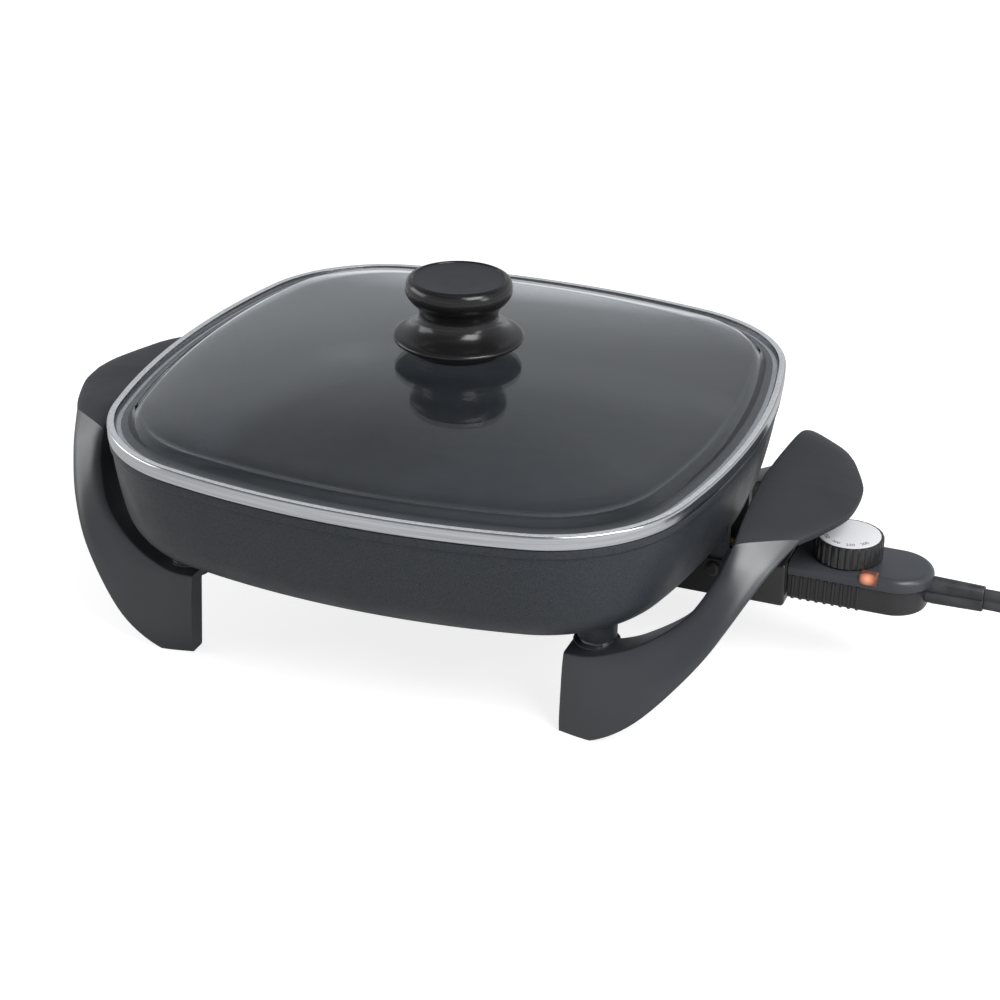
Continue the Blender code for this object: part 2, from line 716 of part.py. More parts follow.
def make_pan():
    """The cast pan with its posts, element channel, sensor boss and guard lugs."""
    rings = [outline(inset, height) for inset, height in pan_profile()]
    pan = add_mesh("pan", loft(rings), "nonstick_cast", WHOLE)
    sunk = PAN_UNDER + PAN_FLOOR / 2
    for side, x in (("left", -POST_X), ("right", POST_X)):
        for end, y in (("front", -POST_Y), ("rear", POST_Y)):
            name = f"{side}_{end}_post"
            low, high = (x, y, POST_BOTTOM), (x, y, sunk)
            post = add_cylinder(name, low, high, POST_RADIUS, None, WHOLE, 24, cutter=True)
            combine(pan, post, "UNION")
    path = element_path()
    rings = [channel_ring(path, i) for i in range(len(path))]
    rib = add_mesh("channel_rib", loft(rings), None, WHOLE, cutter=True)
    combine(pan, rib, "UNION")
    boss = add_cylinder(
        "sensor_boss",
        (SENSOR_BOSS_START, 0.0, ELEMENT_Z),
        (ELEMENT_END, 0.0, ELEMENT_Z),
        SENSOR_BOSS_RADIUS,
        None,
        WHOLE,
        16,
        cutter=True,
    )
    combine(pan, boss, "UNION")
    lug_outer = GUARD_HALF_WIDTH - GUARD_SHEET - CLEARANCE
    for name, low, high in (
        ("front_lug", -lug_outer, -lug_outer + LUG_THICKNESS),
        ("rear_lug", lug_outer - LUG_THICKNESS, lug_outer),
    ):
        lug = add_slab(name, lug_outline(), low, high, None, WHOLE, cutter=True, plan=False)
        combine(pan, lug, "UNION")
    bore = add_cylinder(
        "sensor_bore",
        (SENSOR_BORE_START, 0.0, ELEMENT_Z),
        (ELEMENT_END + OVERRUN, 0.0, ELEMENT_Z),
        SENSOR_RADIUS + LOOSE_FIT,
        None,
        WHOLE,
        16,
        cutter=True,
    )
    combine(pan, bore)
    for side, x in (("left", -POST_X), ("right", POST_X)):
        for end, y in (("front", -POST_Y), ("rear", POST_Y)):
            low = (x, y, POST_BOTTOM - OVERRUN)
            high = (x, y, POST_BOTTOM + SCREW_GRIP + LOOSE_FIT)
            name = f"{side}_{end}_post_bore"
            hole = add_cylinder(
                name, low, high, SCREW_RADIUS + CLEARANCE, None, WHOLE, 12, cutter=True
            )
            combine(pan, hole)
    for name, sign in (("front_lug_bore", -1), ("rear_lug_bore", 1)):
        x, z = guard_screw_place()
        hole = add_cylinder(
            name,
            (x, sign * (lug_outer + OVERRUN), z),
            (x, sign * (lug_outer - LUG_THICKNESS - OVERRUN), z),
            GUARD_SCREW_RADIUS + CLEARANCE,
            None,
            WHOLE,
            12,
            cutter=True,
        )
        combine(pan, hole)


def guard_screw_place():
    """Where the guard's screws go through its side plates."""
    return GUARD_END - LOOSE_FIT - LUG_LENGTH / 2, PAN_UNDER - LUG_SCREW_DROP


def make_element():
    """The sheathed element and its two terminal pins."""
    path = [(x, y, ELEMENT_Z) for x, y in element_path()]
    add_tube("heating_element", path, ELEMENT_RADIUS, "sheath_steel", WHOLE)
    start = ELEMENT_END + CLEARANCE
    for name, y in (
        ("front_terminal_pin", -ELEMENT_HALF_SPACING),
        ("rear_terminal_pin", ELEMENT_HALF_SPACING),
    ):
        low = (start, y, ELEMENT_Z)
        high = (start + TERMINAL_LENGTH, y, ELEMENT_Z)
        add_cylinder(name, low, high, TERMINAL_RADIUS, "contact_brass", WHOLE, 16)


def make_guard():
    """The bent steel guard under the pan that the heat control plugs into."""
    start = GUARD_END - GUARD_LENGTH
    meet = GUARD_END - LUG_LENGTH / 2 - LOOSE_FIT
    side_top = PAN_UNDER + (surface_height(meet) - PAN_UNDER) * GUARD_HEIGHT_SHARE
    count = 6
    top = []
    for step in range(count + 1):
        x = meet + (start - meet) * step / count
        top.append((x, min(side_top, surface_height(x) - CLEARANCE)))
    side_view = [(start, GUARD_BOTTOM), (GUARD_END, GUARD_BOTTOM), (GUARD_END, side_top)] + top
    guard = add_slab(
        "terminal_guard",
        side_view,
        -GUARD_HALF_WIDTH,
        GUARD_HALF_WIDTH,
        "sheath_steel",
        WHOLE,
        plan=False,
    )
    inside = add_box(
        "guard_inside",
        (start - OVERRUN, -GUARD_HALF_WIDTH + GUARD_SHEET, GUARD_BOTTOM + GUARD_SHEET),
        (GUARD_END + OVERRUN, GUARD_HALF_WIDTH - GUARD_SHEET, PAN_RIM),
        None,
        WHOLE,
        cutter=True,
    )
    combine(guard, inside)
    x, z = guard_screw_place()
    hole = add_cylinder(
        "guard_screw_holes",
        (x, -GUARD_HALF_WIDTH - OVERRUN, z),
        (x, GUARD_HALF_WIDTH + OVERRUN, z),
        GUARD_SCREW_RADIUS + CLEARANCE,
        None,
        WHOLE,
        12,
        cutter=True,
    )
    combine(guard, hole)
    reach = GUARD_SHEET + CLEARANCE + LUG_THICKNESS
    for name, sign in (("front_guard_screw", -1), ("rear_guard_screw", 1)):
        place = (x, sign * (GUARD_HALF_WIDTH + CLEARANCE), z)
        turn = (-sign * math.pi / 2, 0.0, 0.0)
        profile = screw_profile(
            GUARD_SCREW_RADIUS, GUARD_SCREW_HEAD_RADIUS, GUARD_SCREW_HEAD_THICKNESS, reach
        )
        add_turned(name, profile, place, "plated_steel", WHOLE, 16, turn)


def screw_profile(radius, head_radius, head_thickness, reach):
    """A pan-head screw: its head stands above its place and its shank goes down from it."""
    head = [(head_radius * out, head_thickness * up) for out, up in SCREW_HEAD_SHARES]
    shank = [
        (radius, 0.0),
        (radius, -reach + radius / 2),
        (radius / 2, -reach),
        (0.0, -reach),
    ]
    return head + shank


def smooth_rows(rows, steps, crease):
    """Rows of numbers filled in by a spline through them, which breaks at the crease row."""
    filled = []
    for i in range(len(rows) - 1):
        a, b = Vector(rows[i]), Vector(rows[i + 1])
        before = a if i in (0, crease) else Vector(rows[i - 1])
        after = b if i + 1 in (crease, len(rows) - 1) else Vector(rows[i + 2])
        slope_a, slope_b = (b - before) / 2, (after - a) / 2
        for step in range(steps):
            t = step / steps
            filled.append(
                a * (2 * t**3 - 3 * t**2 + 1)
                + slope_a * (t**3 - 2 * t**2 + t)
                + b * (3 * t**2 - 2 * t**3)
                + slope_b * (t**3 - t**2)
            )
    filled.append(Vector(rows[-1]))
    return filled


def handle_sections():
    """Cross-sections of the right-hand moulding, from its front foot to the middle of the grip."""
    upper_rows = [
        (
            FOOT_X + (GRIP_INNER - FOOT_X) * out,
            -FOOT_FRONT * forward,
            LEDGE_HEIGHT + (GRIP_HEIGHT - LEDGE_HEIGHT) * up,
        )
        for out, forward, up in UPPER_EDGE_SHARES
    ]
    lower_rows = [
        (
            FOOT_X + (GRIP_OUTER - FOOT_X) * out,
            -FOOT_FRONT * forward,
            GRIP_EDGE_HEIGHT * up,
        )
        for out, forward, up in LOWER_EDGE_SHARES
    ]
    blend_rows = list(zip(WALL_SHARES, LEDGE_SHARES))
    upper = smooth_rows(upper_rows, HANDLE_STEPS, CREASE_ROW)
    lower = smooth_rows(lower_rows, HANDLE_STEPS, CREASE_ROW)
    blend = smooth_rows(blend_rows, HANDLE_STEPS, CREASE_ROW)
    for edge in lower:
        edge.z = max(edge.z, 0.0)
    last = len(upper) - 1
    sections = []
    for i, (top, edge) in enumerate(zip(upper, lower)):
        near, far = max(i - 1, 0), min(i + 1, last)
        along = (upper[far] + lower[far]) - (upper[near] + lower[near])
        if i == 0:
            along = Vector((1.0, 0.0, 0.0))
        if i == last:
            along = Vector((0.0, 1.0, 0.0))
        rise = (top - edge).normalized()
        outward = along.cross(rise).normalized()
        share, ledge_share = blend[i]
        level = Vector((outward.x, outward.y, outward.z * share)).normalized()
        wall = FOOT_WALL + (GRIP_WALL - FOOT_WALL) * share
        ledge = FOOT_LEDGE_WIDTH + (GRIP_LIP_WIDTH - FOOT_LEDGE_WIDTH) * ledge_share
        under = top - rise * LEDGE_THICKNESS
        foot = edge - level * wall
        foot.z = max(foot.z, 0.0)
        face = [top.lerp(edge, t) + outward * FACE_CROWN for t in FACE_SHARES]
        section = [
            top,
            *face,
            edge,
            foot,
            under - level * wall,
            under - level * ledge,
            top - level * ledge,
        ]
        sections.append(section)
    for point in sections[-1]:
        point.y = 0.0
    for point in sections[0]:
        point.x = FOOT_X
    return sections


def make_handle(name, side):
    """One moulding, grip and both legs; side is 1 for the right and -1 for the left."""
    sections = [[(side * p.x, p.y, p.z) for p in section] for section in handle_sections()]
    bm = loft(sections, caps=False)
    bm.verts.ensure_lookup_table()
    bm.faces.new(bm.verts[: len(sections[0])])
    handle = add_mesh(name, bm, "phenolic_black", WHOLE)
    mirror = handle.modifiers.new("rear_half", "MIRROR")
    mirror.use_axis = (False, True, False)
    mirror.merge_threshold = MERGE
    for end, y in (("front", -POST_Y), ("rear", POST_Y)):
        x = side * POST_X
        low, high = (x, y, SEAT_TOP - POST_SEAT_THICKNESS), (x, y, SEAT_TOP)
        seat = add_cylinder(
            f"{name}_{end}_seat", low, high, POST_SEAT_RADIUS, None, WHOLE, 24, cutter=True
        )
        combine(handle, seat, "UNION")
        low, high = (x, y, SEAT_TOP), (x, y, POST_BOTTOM + OVERRUN)
        face = add_cylinder(
            f"{name}_{end}_seat_face", low, high, POST_SEAT_RADIUS, None, WHOLE, 24, cutter=True
        )
        combine(handle, face)
        low = (x, y, SEAT_TOP - POST_SEAT_THICKNESS - OVERRUN)
        high = (x, y, SEAT_TOP + OVERRUN)
        hole = add_cylinder(
            f"{name}_{end}_hole", low, high, SCREW_RADIUS + LOOSE_FIT, None, WHOLE, 12, cutter=True
        )
        combine(handle, hole)


def make_handle_fixings():
    """A washer and a screw at each of the four posts."""
    hole = SCREW_RADIUS + LOOSE_FIT
    for side, x in (("left", -POST_X), ("right", POST_X)):
        for end, y in (("front", -POST_Y), ("rear", POST_Y)):
            ring = [
                (WASHER_RADIUS, WASHER_THICKNESS),
                (WASHER_RADIUS, 0.0),
                (hole, 0.0),
                (hole, WASHER_THICKNESS),
            ]
            place = (x, y, WASHER_BOTTOM)
            add_turned(
                f"{side}_{end}_washer", ring, place, "plated_steel", WHOLE, 20, ring=True
            )
            under = SEAT_TOP - POST_SEAT_THICKNESS - CLEARANCE
            reach = POST_BOTTOM + SCREW_GRIP - under
            profile = screw_profile(
                SCREW_RADIUS, SCREW_HEAD_RADIUS, SCREW_HEAD_THICKNESS, reach
            )
            add_turned(
                f"{side}_{end}_handle_screw",
                profile,
                (x, y, under),
                "plated_steel",
                WHOLE,
                16,
                (math.pi, 0.0, 0.0),
            )


def band_profile():
    """(inset, height) round the lid's steel band, which folds under the glass and holds it."""
    shelf = GLASS_BOTTOM - CLEARANCE
    fold = RIM_INSET + RIM_LEDGE_WIDTH - CLEARANCE
    inner = fold + BAND_SHELF
    bend = BAND_ROLL * (1 - math.sin(math.pi / 4))
    return [
        (0.0, LID_TOP - BAND_ROLL),
        (bend, LID_TOP - bend),
        (BAND_ROLL, LID_TOP),
        (BAND_LIP, LID_TOP),
        (BAND_LIP, LID_TOP - BAND_SHEET),
        (BAND_ROLL, LID_TOP - BAND_SHEET),
        (BAND_SHEET, LID_TOP - BAND_ROLL),
        (BAND_SHEET, LID_BOTTOM + BAND_SHEET),
        (fold - BAND_SHEET, LID_BOTTOM + BAND_SHEET),
        (fold - BAND_SHEET, shelf),
        (inner, shelf),
        (inner, shelf - BAND_SHEET),
        (fold, shelf - BAND_SHEET),
        (fold, LID_BOTTOM),
        (0.0, LID_BOTTOM),
    ]


def dome_ring(share, height):
    """A ring of the dome: the bowed square at 1, rounder and smaller towards the middle."""
    square = outline(DOME_INSET, height)
    reach = LID_HALF - DOME_INSET
    ring = []
    for x, y, z in square:
        away = Vector((x, y))
        circle = away.normalized() * reach
        point = circle.lerp(away, share**2) * share
        ring.append((point.x, point.y, z))
    return ring


def glass_rings(drop):
    """The glass's upper skin from its edge to its hole, or the same skin lowered by a drop."""
    flat = GLASS_EDGE_INSET + GLASS_FLANGE
    middle = flat + GLASS_BEND_RUN / 2
    rings = [
        outline(GLASS_EDGE_INSET, GLASS_TOP - drop),
        outline(flat, GLASS_TOP - drop),
        outline(middle, GLASS_TOP + GLASS_BEND_RISE * GLASS_BEND_SHARE - drop),
        outline(DOME_INSET, BEND_TOP - drop),
    ]
    for share in DOME_RING_SHARES:
        height = DOME_TOP - DOME_RISE * share**2 - drop
        rings.append(dome_ring(share, height))
    hole_share = GLASS_HOLE_RADIUS / (LID_HALF - DOME_INSET)
    hole = [
        (GLASS_HOLE_RADIUS * math.cos(a), GLASS_HOLE_RADIUS * math.sin(a), DOME_TOP - drop)
        for a in [math.atan2(y, x) for x, y, z in dome_ring(hole_share, 0.0)]
    ]
    return rings + [hole]


def make_lid():
    """The glass, its steel band, and the knob with its skirt, washer and screw."""
    band = [outline(inset, height) for inset, height in band_profile()]
    add_mesh("lid_band", loft(band, closed=True), "band_steel", LID)
    upper = glass_rings(0.0)
    upper[0] = outline(GLASS_EDGE_INSET + GLASS_EDGE, GLASS_TOP)
    upper.insert(0, outline(GLASS_EDGE_INSET, GLASS_TOP - GLASS_EDGE))
    skin = upper + glass_rings(GLASS_THICKNESS)[::-1]
    add_mesh("lid_glass", loft(skin, closed=True), "tempered_glass", LID)
    bore = KNOB_BORE_RADIUS
    skirt = [
        (SKIRT_RADIUS, SKIRT_HEIGHT),
        (SKIRT_RADIUS, SKIRT_EDGE),
        (SKIRT_RADIUS - SKIRT_EDGE, 0.0),
        (bore, 0.0),
        (bore, SKIRT_HEIGHT),
    ]
    place = (0.0, 0.0, SKIRT_BOTTOM)
    add_turned("knob_skirt", skirt, place, "phenolic_gloss", LID, KNOB_STEPS, ring=True)
    side = [(KNOB_RADIUS * out, KNOB_HEIGHT * up) for out, up in KNOB_SIDE_SHARES]
    dish = [(0.0, KNOB_HEIGHT - KNOB_DISH), (side[0][0] - SKIRT_EDGE, KNOB_HEIGHT - KNOB_DISH)]
    core = [(bore, 0.0), (bore, KNOB_BORE_DEPTH), (0.0, KNOB_BORE_DEPTH)]
    place = (0.0, 0.0, KNOB_BOTTOM)
    add_turned("knob", dish + side + core, place, "phenolic_gloss", LID, KNOB_STEPS)
    under = DOME_TOP - GLASS_THICKNESS - CLEARANCE
    ring = [
        (LID_WASHER_RADIUS, 0.0),
        (LID_WASHER_RADIUS, -LID_WASHER_THICKNESS),
        (GLASS_HOLE_RADIUS, -LID_WASHER_THICKNESS),
        (GLASS_HOLE_RADIUS, 0.0),
    ]
    add_turned("lid_washer", ring, (0.0, 0.0, under), "plated_steel", LID, 24, ring=True)
    head = under - LID_WASHER_THICKNESS - CLEARANCE
    reach = KNOB_BOTTOM + KNOB_BORE_DEPTH - CLEARANCE - head
    profile = screw_profile(
        KNOB_BORE_RADIUS - CLEARANCE, LID_SCREW_HEAD_RADIUS, LID_SCREW_HEAD_THICKNESS, reach
    )
    turn = (math.pi, 0.0, 0.0)
    add_turned("lid_screw", profile, (0.0, 0.0, head), "plated_steel", LID, 16, turn)


def cover_outline(wall=0.0):
    """The housing's cover in plan, drawn in by a wall."""
    return round_ended(HOUSING_HALF_WIDTH - wall, END_CENTRE, [(HOUSING_START + wall, 0.0)])


def base_outline(wall=0.0, ribs=False):
    """The housing's base in plan, drawn in by a wall, with or without its grip ribs."""
    side = [(HOUSING_START + wall, 0.0)]
    if ribs:
        for rib in range(GRIP_RIB_COUNT):
            x = HOUSING_START + GRIP_RIB_PITCH * (rib + 1 / 2)
            end = x + GRIP_RIB_WIDTH
            side += [(x, 0.0), (x, GRIP_RIB_DEPTH), (end, GRIP_RIB_DEPTH), (end, 0.0)]
    return round_ended(BASE_HALF_WIDTH - wall, BASE_END - BASE_HALF_WIDTH, side)


def round_ended(half, centre, side):
    """A plan with a half-round end, from how far each point of its side stands out of it."""
    front = [(x, -half - proud) for x, proud in side]
    end = []
    for step in range(HOUSING_END_STEPS + 1):
        angle = -math.pi / 2 + math.pi * step / HOUSING_END_STEPS
        end.append((centre + half * math.cos(angle), half * math.sin(angle)))
    return front + end + [(x, -y) for x, y in reversed(front)]


def relief_slot():
    """The opening in both housing halves that grips the strain relief."""
    half_width = RELIEF_WIDTH / 2 + CLEARANCE
    half_thick = RELIEF_THICKNESS / 2 + CLEARANCE
    return add_box(
        "relief_slot",
        (BASE_END - HOUSING_WALL * 1.5, -half_thick, RELIEF_Z - half_width),
        (HOUSING_END + OVERRUN, half_thick, RELIEF_Z + half_width),
        None,
        CONTROL,
        cutter=True,
    )


def housing_screw_places():
    """Where the two housing screws stand."""
    offset = BASE_HALF_WIDTH - HOUSING_WALL - COVER_BOSS_RADIUS - LOOSE_FIT
    near = HOUSING_START + HOUSING_WALL + COVER_BOSS_RADIUS + LOOSE_FIT
    return (("front", near, -offset), ("rear", near, offset))


def mark_top_rim(slab):
    """Join the triangles of a slab's flat faces and mark its top rim, past the hood, to round."""
    bm = bmesh.new()
    bm.from_mesh(slab.data)
    bmesh.ops.dissolve_limit(bm, angle_limit=FLAT_ANGLE, verts=bm.verts, edges=bm.edges)
    weights = bm.edges.layers.float.new("bevel_weight_edge")
    top = max(corner.co.z for corner in bm.verts) - CLEARANCE
    hood_side = min(corner.co.x for corner in bm.verts) + CLEARANCE
    for line in bm.edges:
        on_top = min(corner.co.z for corner in line.verts) > top
        past_hood = max(corner.co.x for corner in line.verts) > hood_side
        line[weights] = float(on_top and past_hood)
    bm.to_mesh(slab.data)
    bm.free()


def make_housing():
    """The ribbed base and the smooth cover, both hollow, and the screws that join them."""
    base_top = HOUSING_BOTTOM + HOUSING_BASE_HEIGHT
    base = add_slab(
        "control_base",
        base_outline(ribs=True),
        HOUSING_BOTTOM,
        base_top,
        "phenolic_gloss",
        CONTROL,
    )
    base_pocket = add_slab(
        "base_pocket",
        base_outline(HOUSING_WALL),
        HOUSING_BOTTOM + HOUSING_WALL,
        base_top + OVERRUN,
        None,
        CONTROL,
        cutter=True,
    )
    combine(base, base_pocket, solver="MANIFOLD")
    cover = add_slab(
        "control_cover",
        cover_outline(),
        COVER_BOTTOM,
        HOUSING_TOP,
        "phenolic_gloss",
        CONTROL,
    )
    mark_top_rim(cover)
    edge = cover.modifiers.new("top_edge", "BEVEL")
    edge.width = COVER_EDGE
    edge.segments = 3
    edge.limit_method = "WEIGHT"
    cover_pocket = add_slab(
        "cover_pocket",
        cover_outline(HOUSING_WALL),
        COVER_BOTTOM - OVERRUN,
        HOUSING_TOP - HOUSING_WALL,
        None,
        CONTROL,
        cutter=True,
    )
    combine(cover, cover_pocket)
    for end, x, y in housing_screw_places():
        boss = add_cylinder(
            f"{end}_cover_boss",
            (x, y, HOUSING_BOTTOM + HOUSING_WALL + CLEARANCE),
            (x, y, HOUSING_TOP - HOUSING_WALL / 2),
            COVER_BOSS_RADIUS,
            None,
            CONTROL,
            16,
            cutter=True,
        )
        hole = add_cylinder(
            f"{end}_boss_bore",
            (x, y, HOUSING_BOTTOM - OVERRUN),
            (x, y, HOUSING_BOTTOM + HOUSING_WALL + HOUSING_SCREW_GRIP + LOOSE_FIT),
            HOUSING_SCREW_RADIUS + CLEARANCE,
            None,
            CONTROL,
            12,
            cutter=True,
        )
        combine(cover, boss, "UNION")
        combine(cover, hole)
        combine(base, hole)
        profile = screw_profile(
            HOUSING_SCREW_RADIUS,
            HOUSING_SCREW_HEAD_RADIUS,
            HOUSING_SCREW_HEAD_THICKNESS,
            HOUSING_WALL + HOUSING_SCREW_GRIP,
        )
        place = (x, y, HOUSING_BOTTOM - CLEARANCE)
        turn = (math.pi, 0.0, 0.0)
        add_turned(f"{end}_housing_screw", profile, place, "plated_steel", CONTROL, 14, turn)
    slot = relief_slot()
    combine(base, slot)
    combine(cover, slot)
    rod_opening = add_box(
        "rod_opening",
        (HOUSING_START - OVERRUN, -STACK_HALF_WIDTH, ELEMENT_Z - SENSOR_RADIUS - LOOSE_FIT),
        (HOUSING_START + HOUSING_WALL * 2, STACK_HALF_WIDTH, HOUSING_TOP - HOUSING_WALL * 1.5),
        None,
        CONTROL,
        cutter=True,
    )
    combine(base, rod_opening)
    combine(cover, rod_opening)
    shaft_hole = add_cylinder(
        "shaft_hole",
        (DIAL_X, 0.0, COVER_BOTTOM),
        (DIAL_X, 0.0, HOUSING_TOP + OVERRUN),
        SHAFT_RADIUS + CLEARANCE,
        None,
        CONTROL,
        20,
        cutter=True,
    )
    combine(cover, shaft_hole)
    low, high = lens_box()
    gap = Vector((CLEARANCE, CLEARANCE, CLEARANCE))
    window = add_box("lens_window", low - gap, high + gap, None, CONTROL, cutter=True)
    combine(cover, window)


def lens_box():
    """The lamp lens, let into the cover's front top edge beside the dial."""
    x = DIAL_X + LENS_FROM_DIAL
    front = -HOUSING_HALF_WIDTH - LENS_PROUD
    top = HOUSING_TOP + LENS_PROUD
    low = Vector((x - LENS_LENGTH / 2, front, top - LENS_HEIGHT))
    high = Vector((x + LENS_LENGTH / 2, front + LENS_DEPTH, top))
    return low, high


def make_hood():
    """The hood over the contacts, open towards the pan."""
    hood = add_box(
        "contact_hood",
        (HOOD_START, -HOOD_HALF_WIDTH, HOOD_BOTTOM),
        (HOOD_END, HOOD_HALF_WIDTH, HOUSING_TOP),
        "phenolic_gloss",
        CONTROL,
        edge=HOOD_EDGE,
    )
    inside = HOOD_HALF_WIDTH - HOOD_WALL
    pocket = add_box(
        "hood_pocket",
        (HOOD_START - OVERRUN, -inside, HOOD_BOTTOM + HOOD_WALL),
        (HOOD_END - HOOD_WALL, inside, HOUSING_TOP - HOOD_WALL),
        None,
        CONTROL,
        cutter=True,
    )
    combine(hood, pocket)
    passage = add_cylinder(
        "rod_passage",
        (HOOD_END - HOOD_WALL * 2, 0.0, ELEMENT_Z),
        (HOOD_END + OVERRUN, 0.0, ELEMENT_Z),
        SENSOR_RADIUS + CLEARANCE,
        None,
        CONTROL,
        16,
        cutter=True,
    )
    combine(hood, passage)


def make_contacts():
    """The ceramic block in the hood, its two contact sleeves and the sensor rod."""
    back = HOOD_END - HOOD_WALL - CLEARANCE
    front = back - CONTACT_BLOCK_LENGTH
    half = HOOD_HALF_WIDTH - HOOD_WALL - CLEARANCE
    block = add_box(
        "contact_block",
        (front, -half, ELEMENT_Z - CONTACT_BLOCK_HEIGHT / 2),
        (back, half, ELEMENT_Z + CONTACT_BLOCK_HEIGHT / 2),
        "ceramic_white",
        CONTROL,
    )
    bore = TERMINAL_RADIUS + CLEARANCE
    sleeve_radius = bore + SLEEVE_WALL
    for name, y in (
        ("front_contact_sleeve", -ELEMENT_HALF_SPACING),
        ("rear_contact_sleeve", ELEMENT_HALF_SPACING),
    ):
        seat = add_cylinder(
            f"{name}_seat",
            (front - OVERRUN, y, ELEMENT_Z),
            (back + OVERRUN, y, ELEMENT_Z),
            sleeve_radius + CLEARANCE,
            None,
            CONTROL,
            20,
            cutter=True,
        )
        combine(block, seat)
        ring = [(sleeve_radius, SLEEVE_LENGTH), (sleeve_radius, 0.0), (bore, 0.0)]
        ring.append((bore, SLEEVE_LENGTH))
        place = (back - SLEEVE_LENGTH, y, ELEMENT_Z)
        turn = (0.0, math.pi / 2, 0.0)
        add_turned(name, ring, place, "contact_brass", CONTROL, 20, turn, ring=True)
    rod_hole = add_cylinder(
        "rod_hole",
        (front - OVERRUN, 0.0, ELEMENT_Z),
        (back + OVERRUN, 0.0, ELEMENT_Z),
        SENSOR_RADIUS + CLEARANCE,
        None,
        CONTROL,
        16,
        cutter=True,
    )
    combine(block, rod_hole)
    radius = SENSOR_RADIUS
    profile = [
        (0.0, SENSOR_LENGTH),
        (radius, SENSOR_LENGTH),
        (radius, radius),
        (radius * 0.8, radius * 0.4),
        (radius * 0.4, 0.0),
        (0.0, 0.0),
    ]
    place = (SENSOR_TIP, 0.0, ELEMENT_Z)
    turn = (0.0, math.pi / 2, 0.0)
    add_turned("sensor_rod", profile, place, "plated_steel", CONTROL, 20, turn)


def make_thermostat():
    """The switch under the dial: two contact springs held in an insulating stack."""
    start = HOUSING_START + HOUSING_WALL + CLEARANCE
    end = start + STACK_LENGTH
    level = HOUSING_BOTTOM + HOUSING_WALL + CLEARANCE
    half = STACK_HALF_WIDTH
    top = level + STACK_BASE_HEIGHT
    low, high = (start, -half, level), (end, half, top)
    add_box("thermostat_base", low, high, "ceramic_white", CONTROL)
    level = top + CLEARANCE
    tip = DIAL_X + CONTACT_RADIUS
    stages = (("lower_contact_spring", 1), ("upper_contact_spring", -1))
    button_height = (STACK_SPACER_HEIGHT + CLEARANCE) / 2
    for name, way in stages:
        top = level + SPRING_THICKNESS
        spring = add_box(
            name,
            (start, -SPRING_HALF_WIDTH, level),
            (start + SPRING_LENGTH, SPRING_HALF_WIDTH, top),
            "contact_brass",
            CONTROL,
        )
        middle = (level + top) / 2
        reach = SPRING_THICKNESS / 2 + button_height
        button = add_cylinder(
            f"{name}_button",
            (tip, 0.0, middle),
            (tip, 0.0, middle + way * reach),
            CONTACT_RADIUS,
            None,
            CONTROL,
            12,
            cutter=True,
        )
        combine(spring, button, "UNION")
        level = top + CLEARANCE
        if way > 0:
            top = level + STACK_SPACER_HEIGHT
            low, high = (start, -half, level), (end, half, top)
            add_box("thermostat_spacer", low, high, "ceramic_white", CONTROL)
            level = top + CLEARANCE
    return level


def make_lamp():
    """The indicator lamp and its lens."""
    low, high = lens_box()
    add_box("lamp_lens", low, high, "lamp_amber", CONTROL, edge=LENS_EDGE)
    middle = (low + high) / 2
    radius = LAMP_RADIUS
    rounding = [(math.sin(a), 1 - math.cos(a)) for a in (math.pi / 6, math.pi / 3, math.pi / 2)]
    profile = [(0.0, LAMP_LENGTH)]
    profile += [(radius * s, LAMP_LENGTH - radius * c) for s, c in rounding]
    profile += [(radius * s, radius * c) for s, c in reversed(rounding)]
    profile += [(0.0, 0.0)]
    lift = low.z - CLEARANCE - CLEARANCE - radius
    place = (middle.x - LAMP_LENGTH / 2, middle.y + LENS_DEPTH / 2, lift)
    turn = (0.0, math.pi / 2, 0.0)
    add_turned("neon_lamp", profile, place, "lamp_glass", CONTROL, 14, turn)


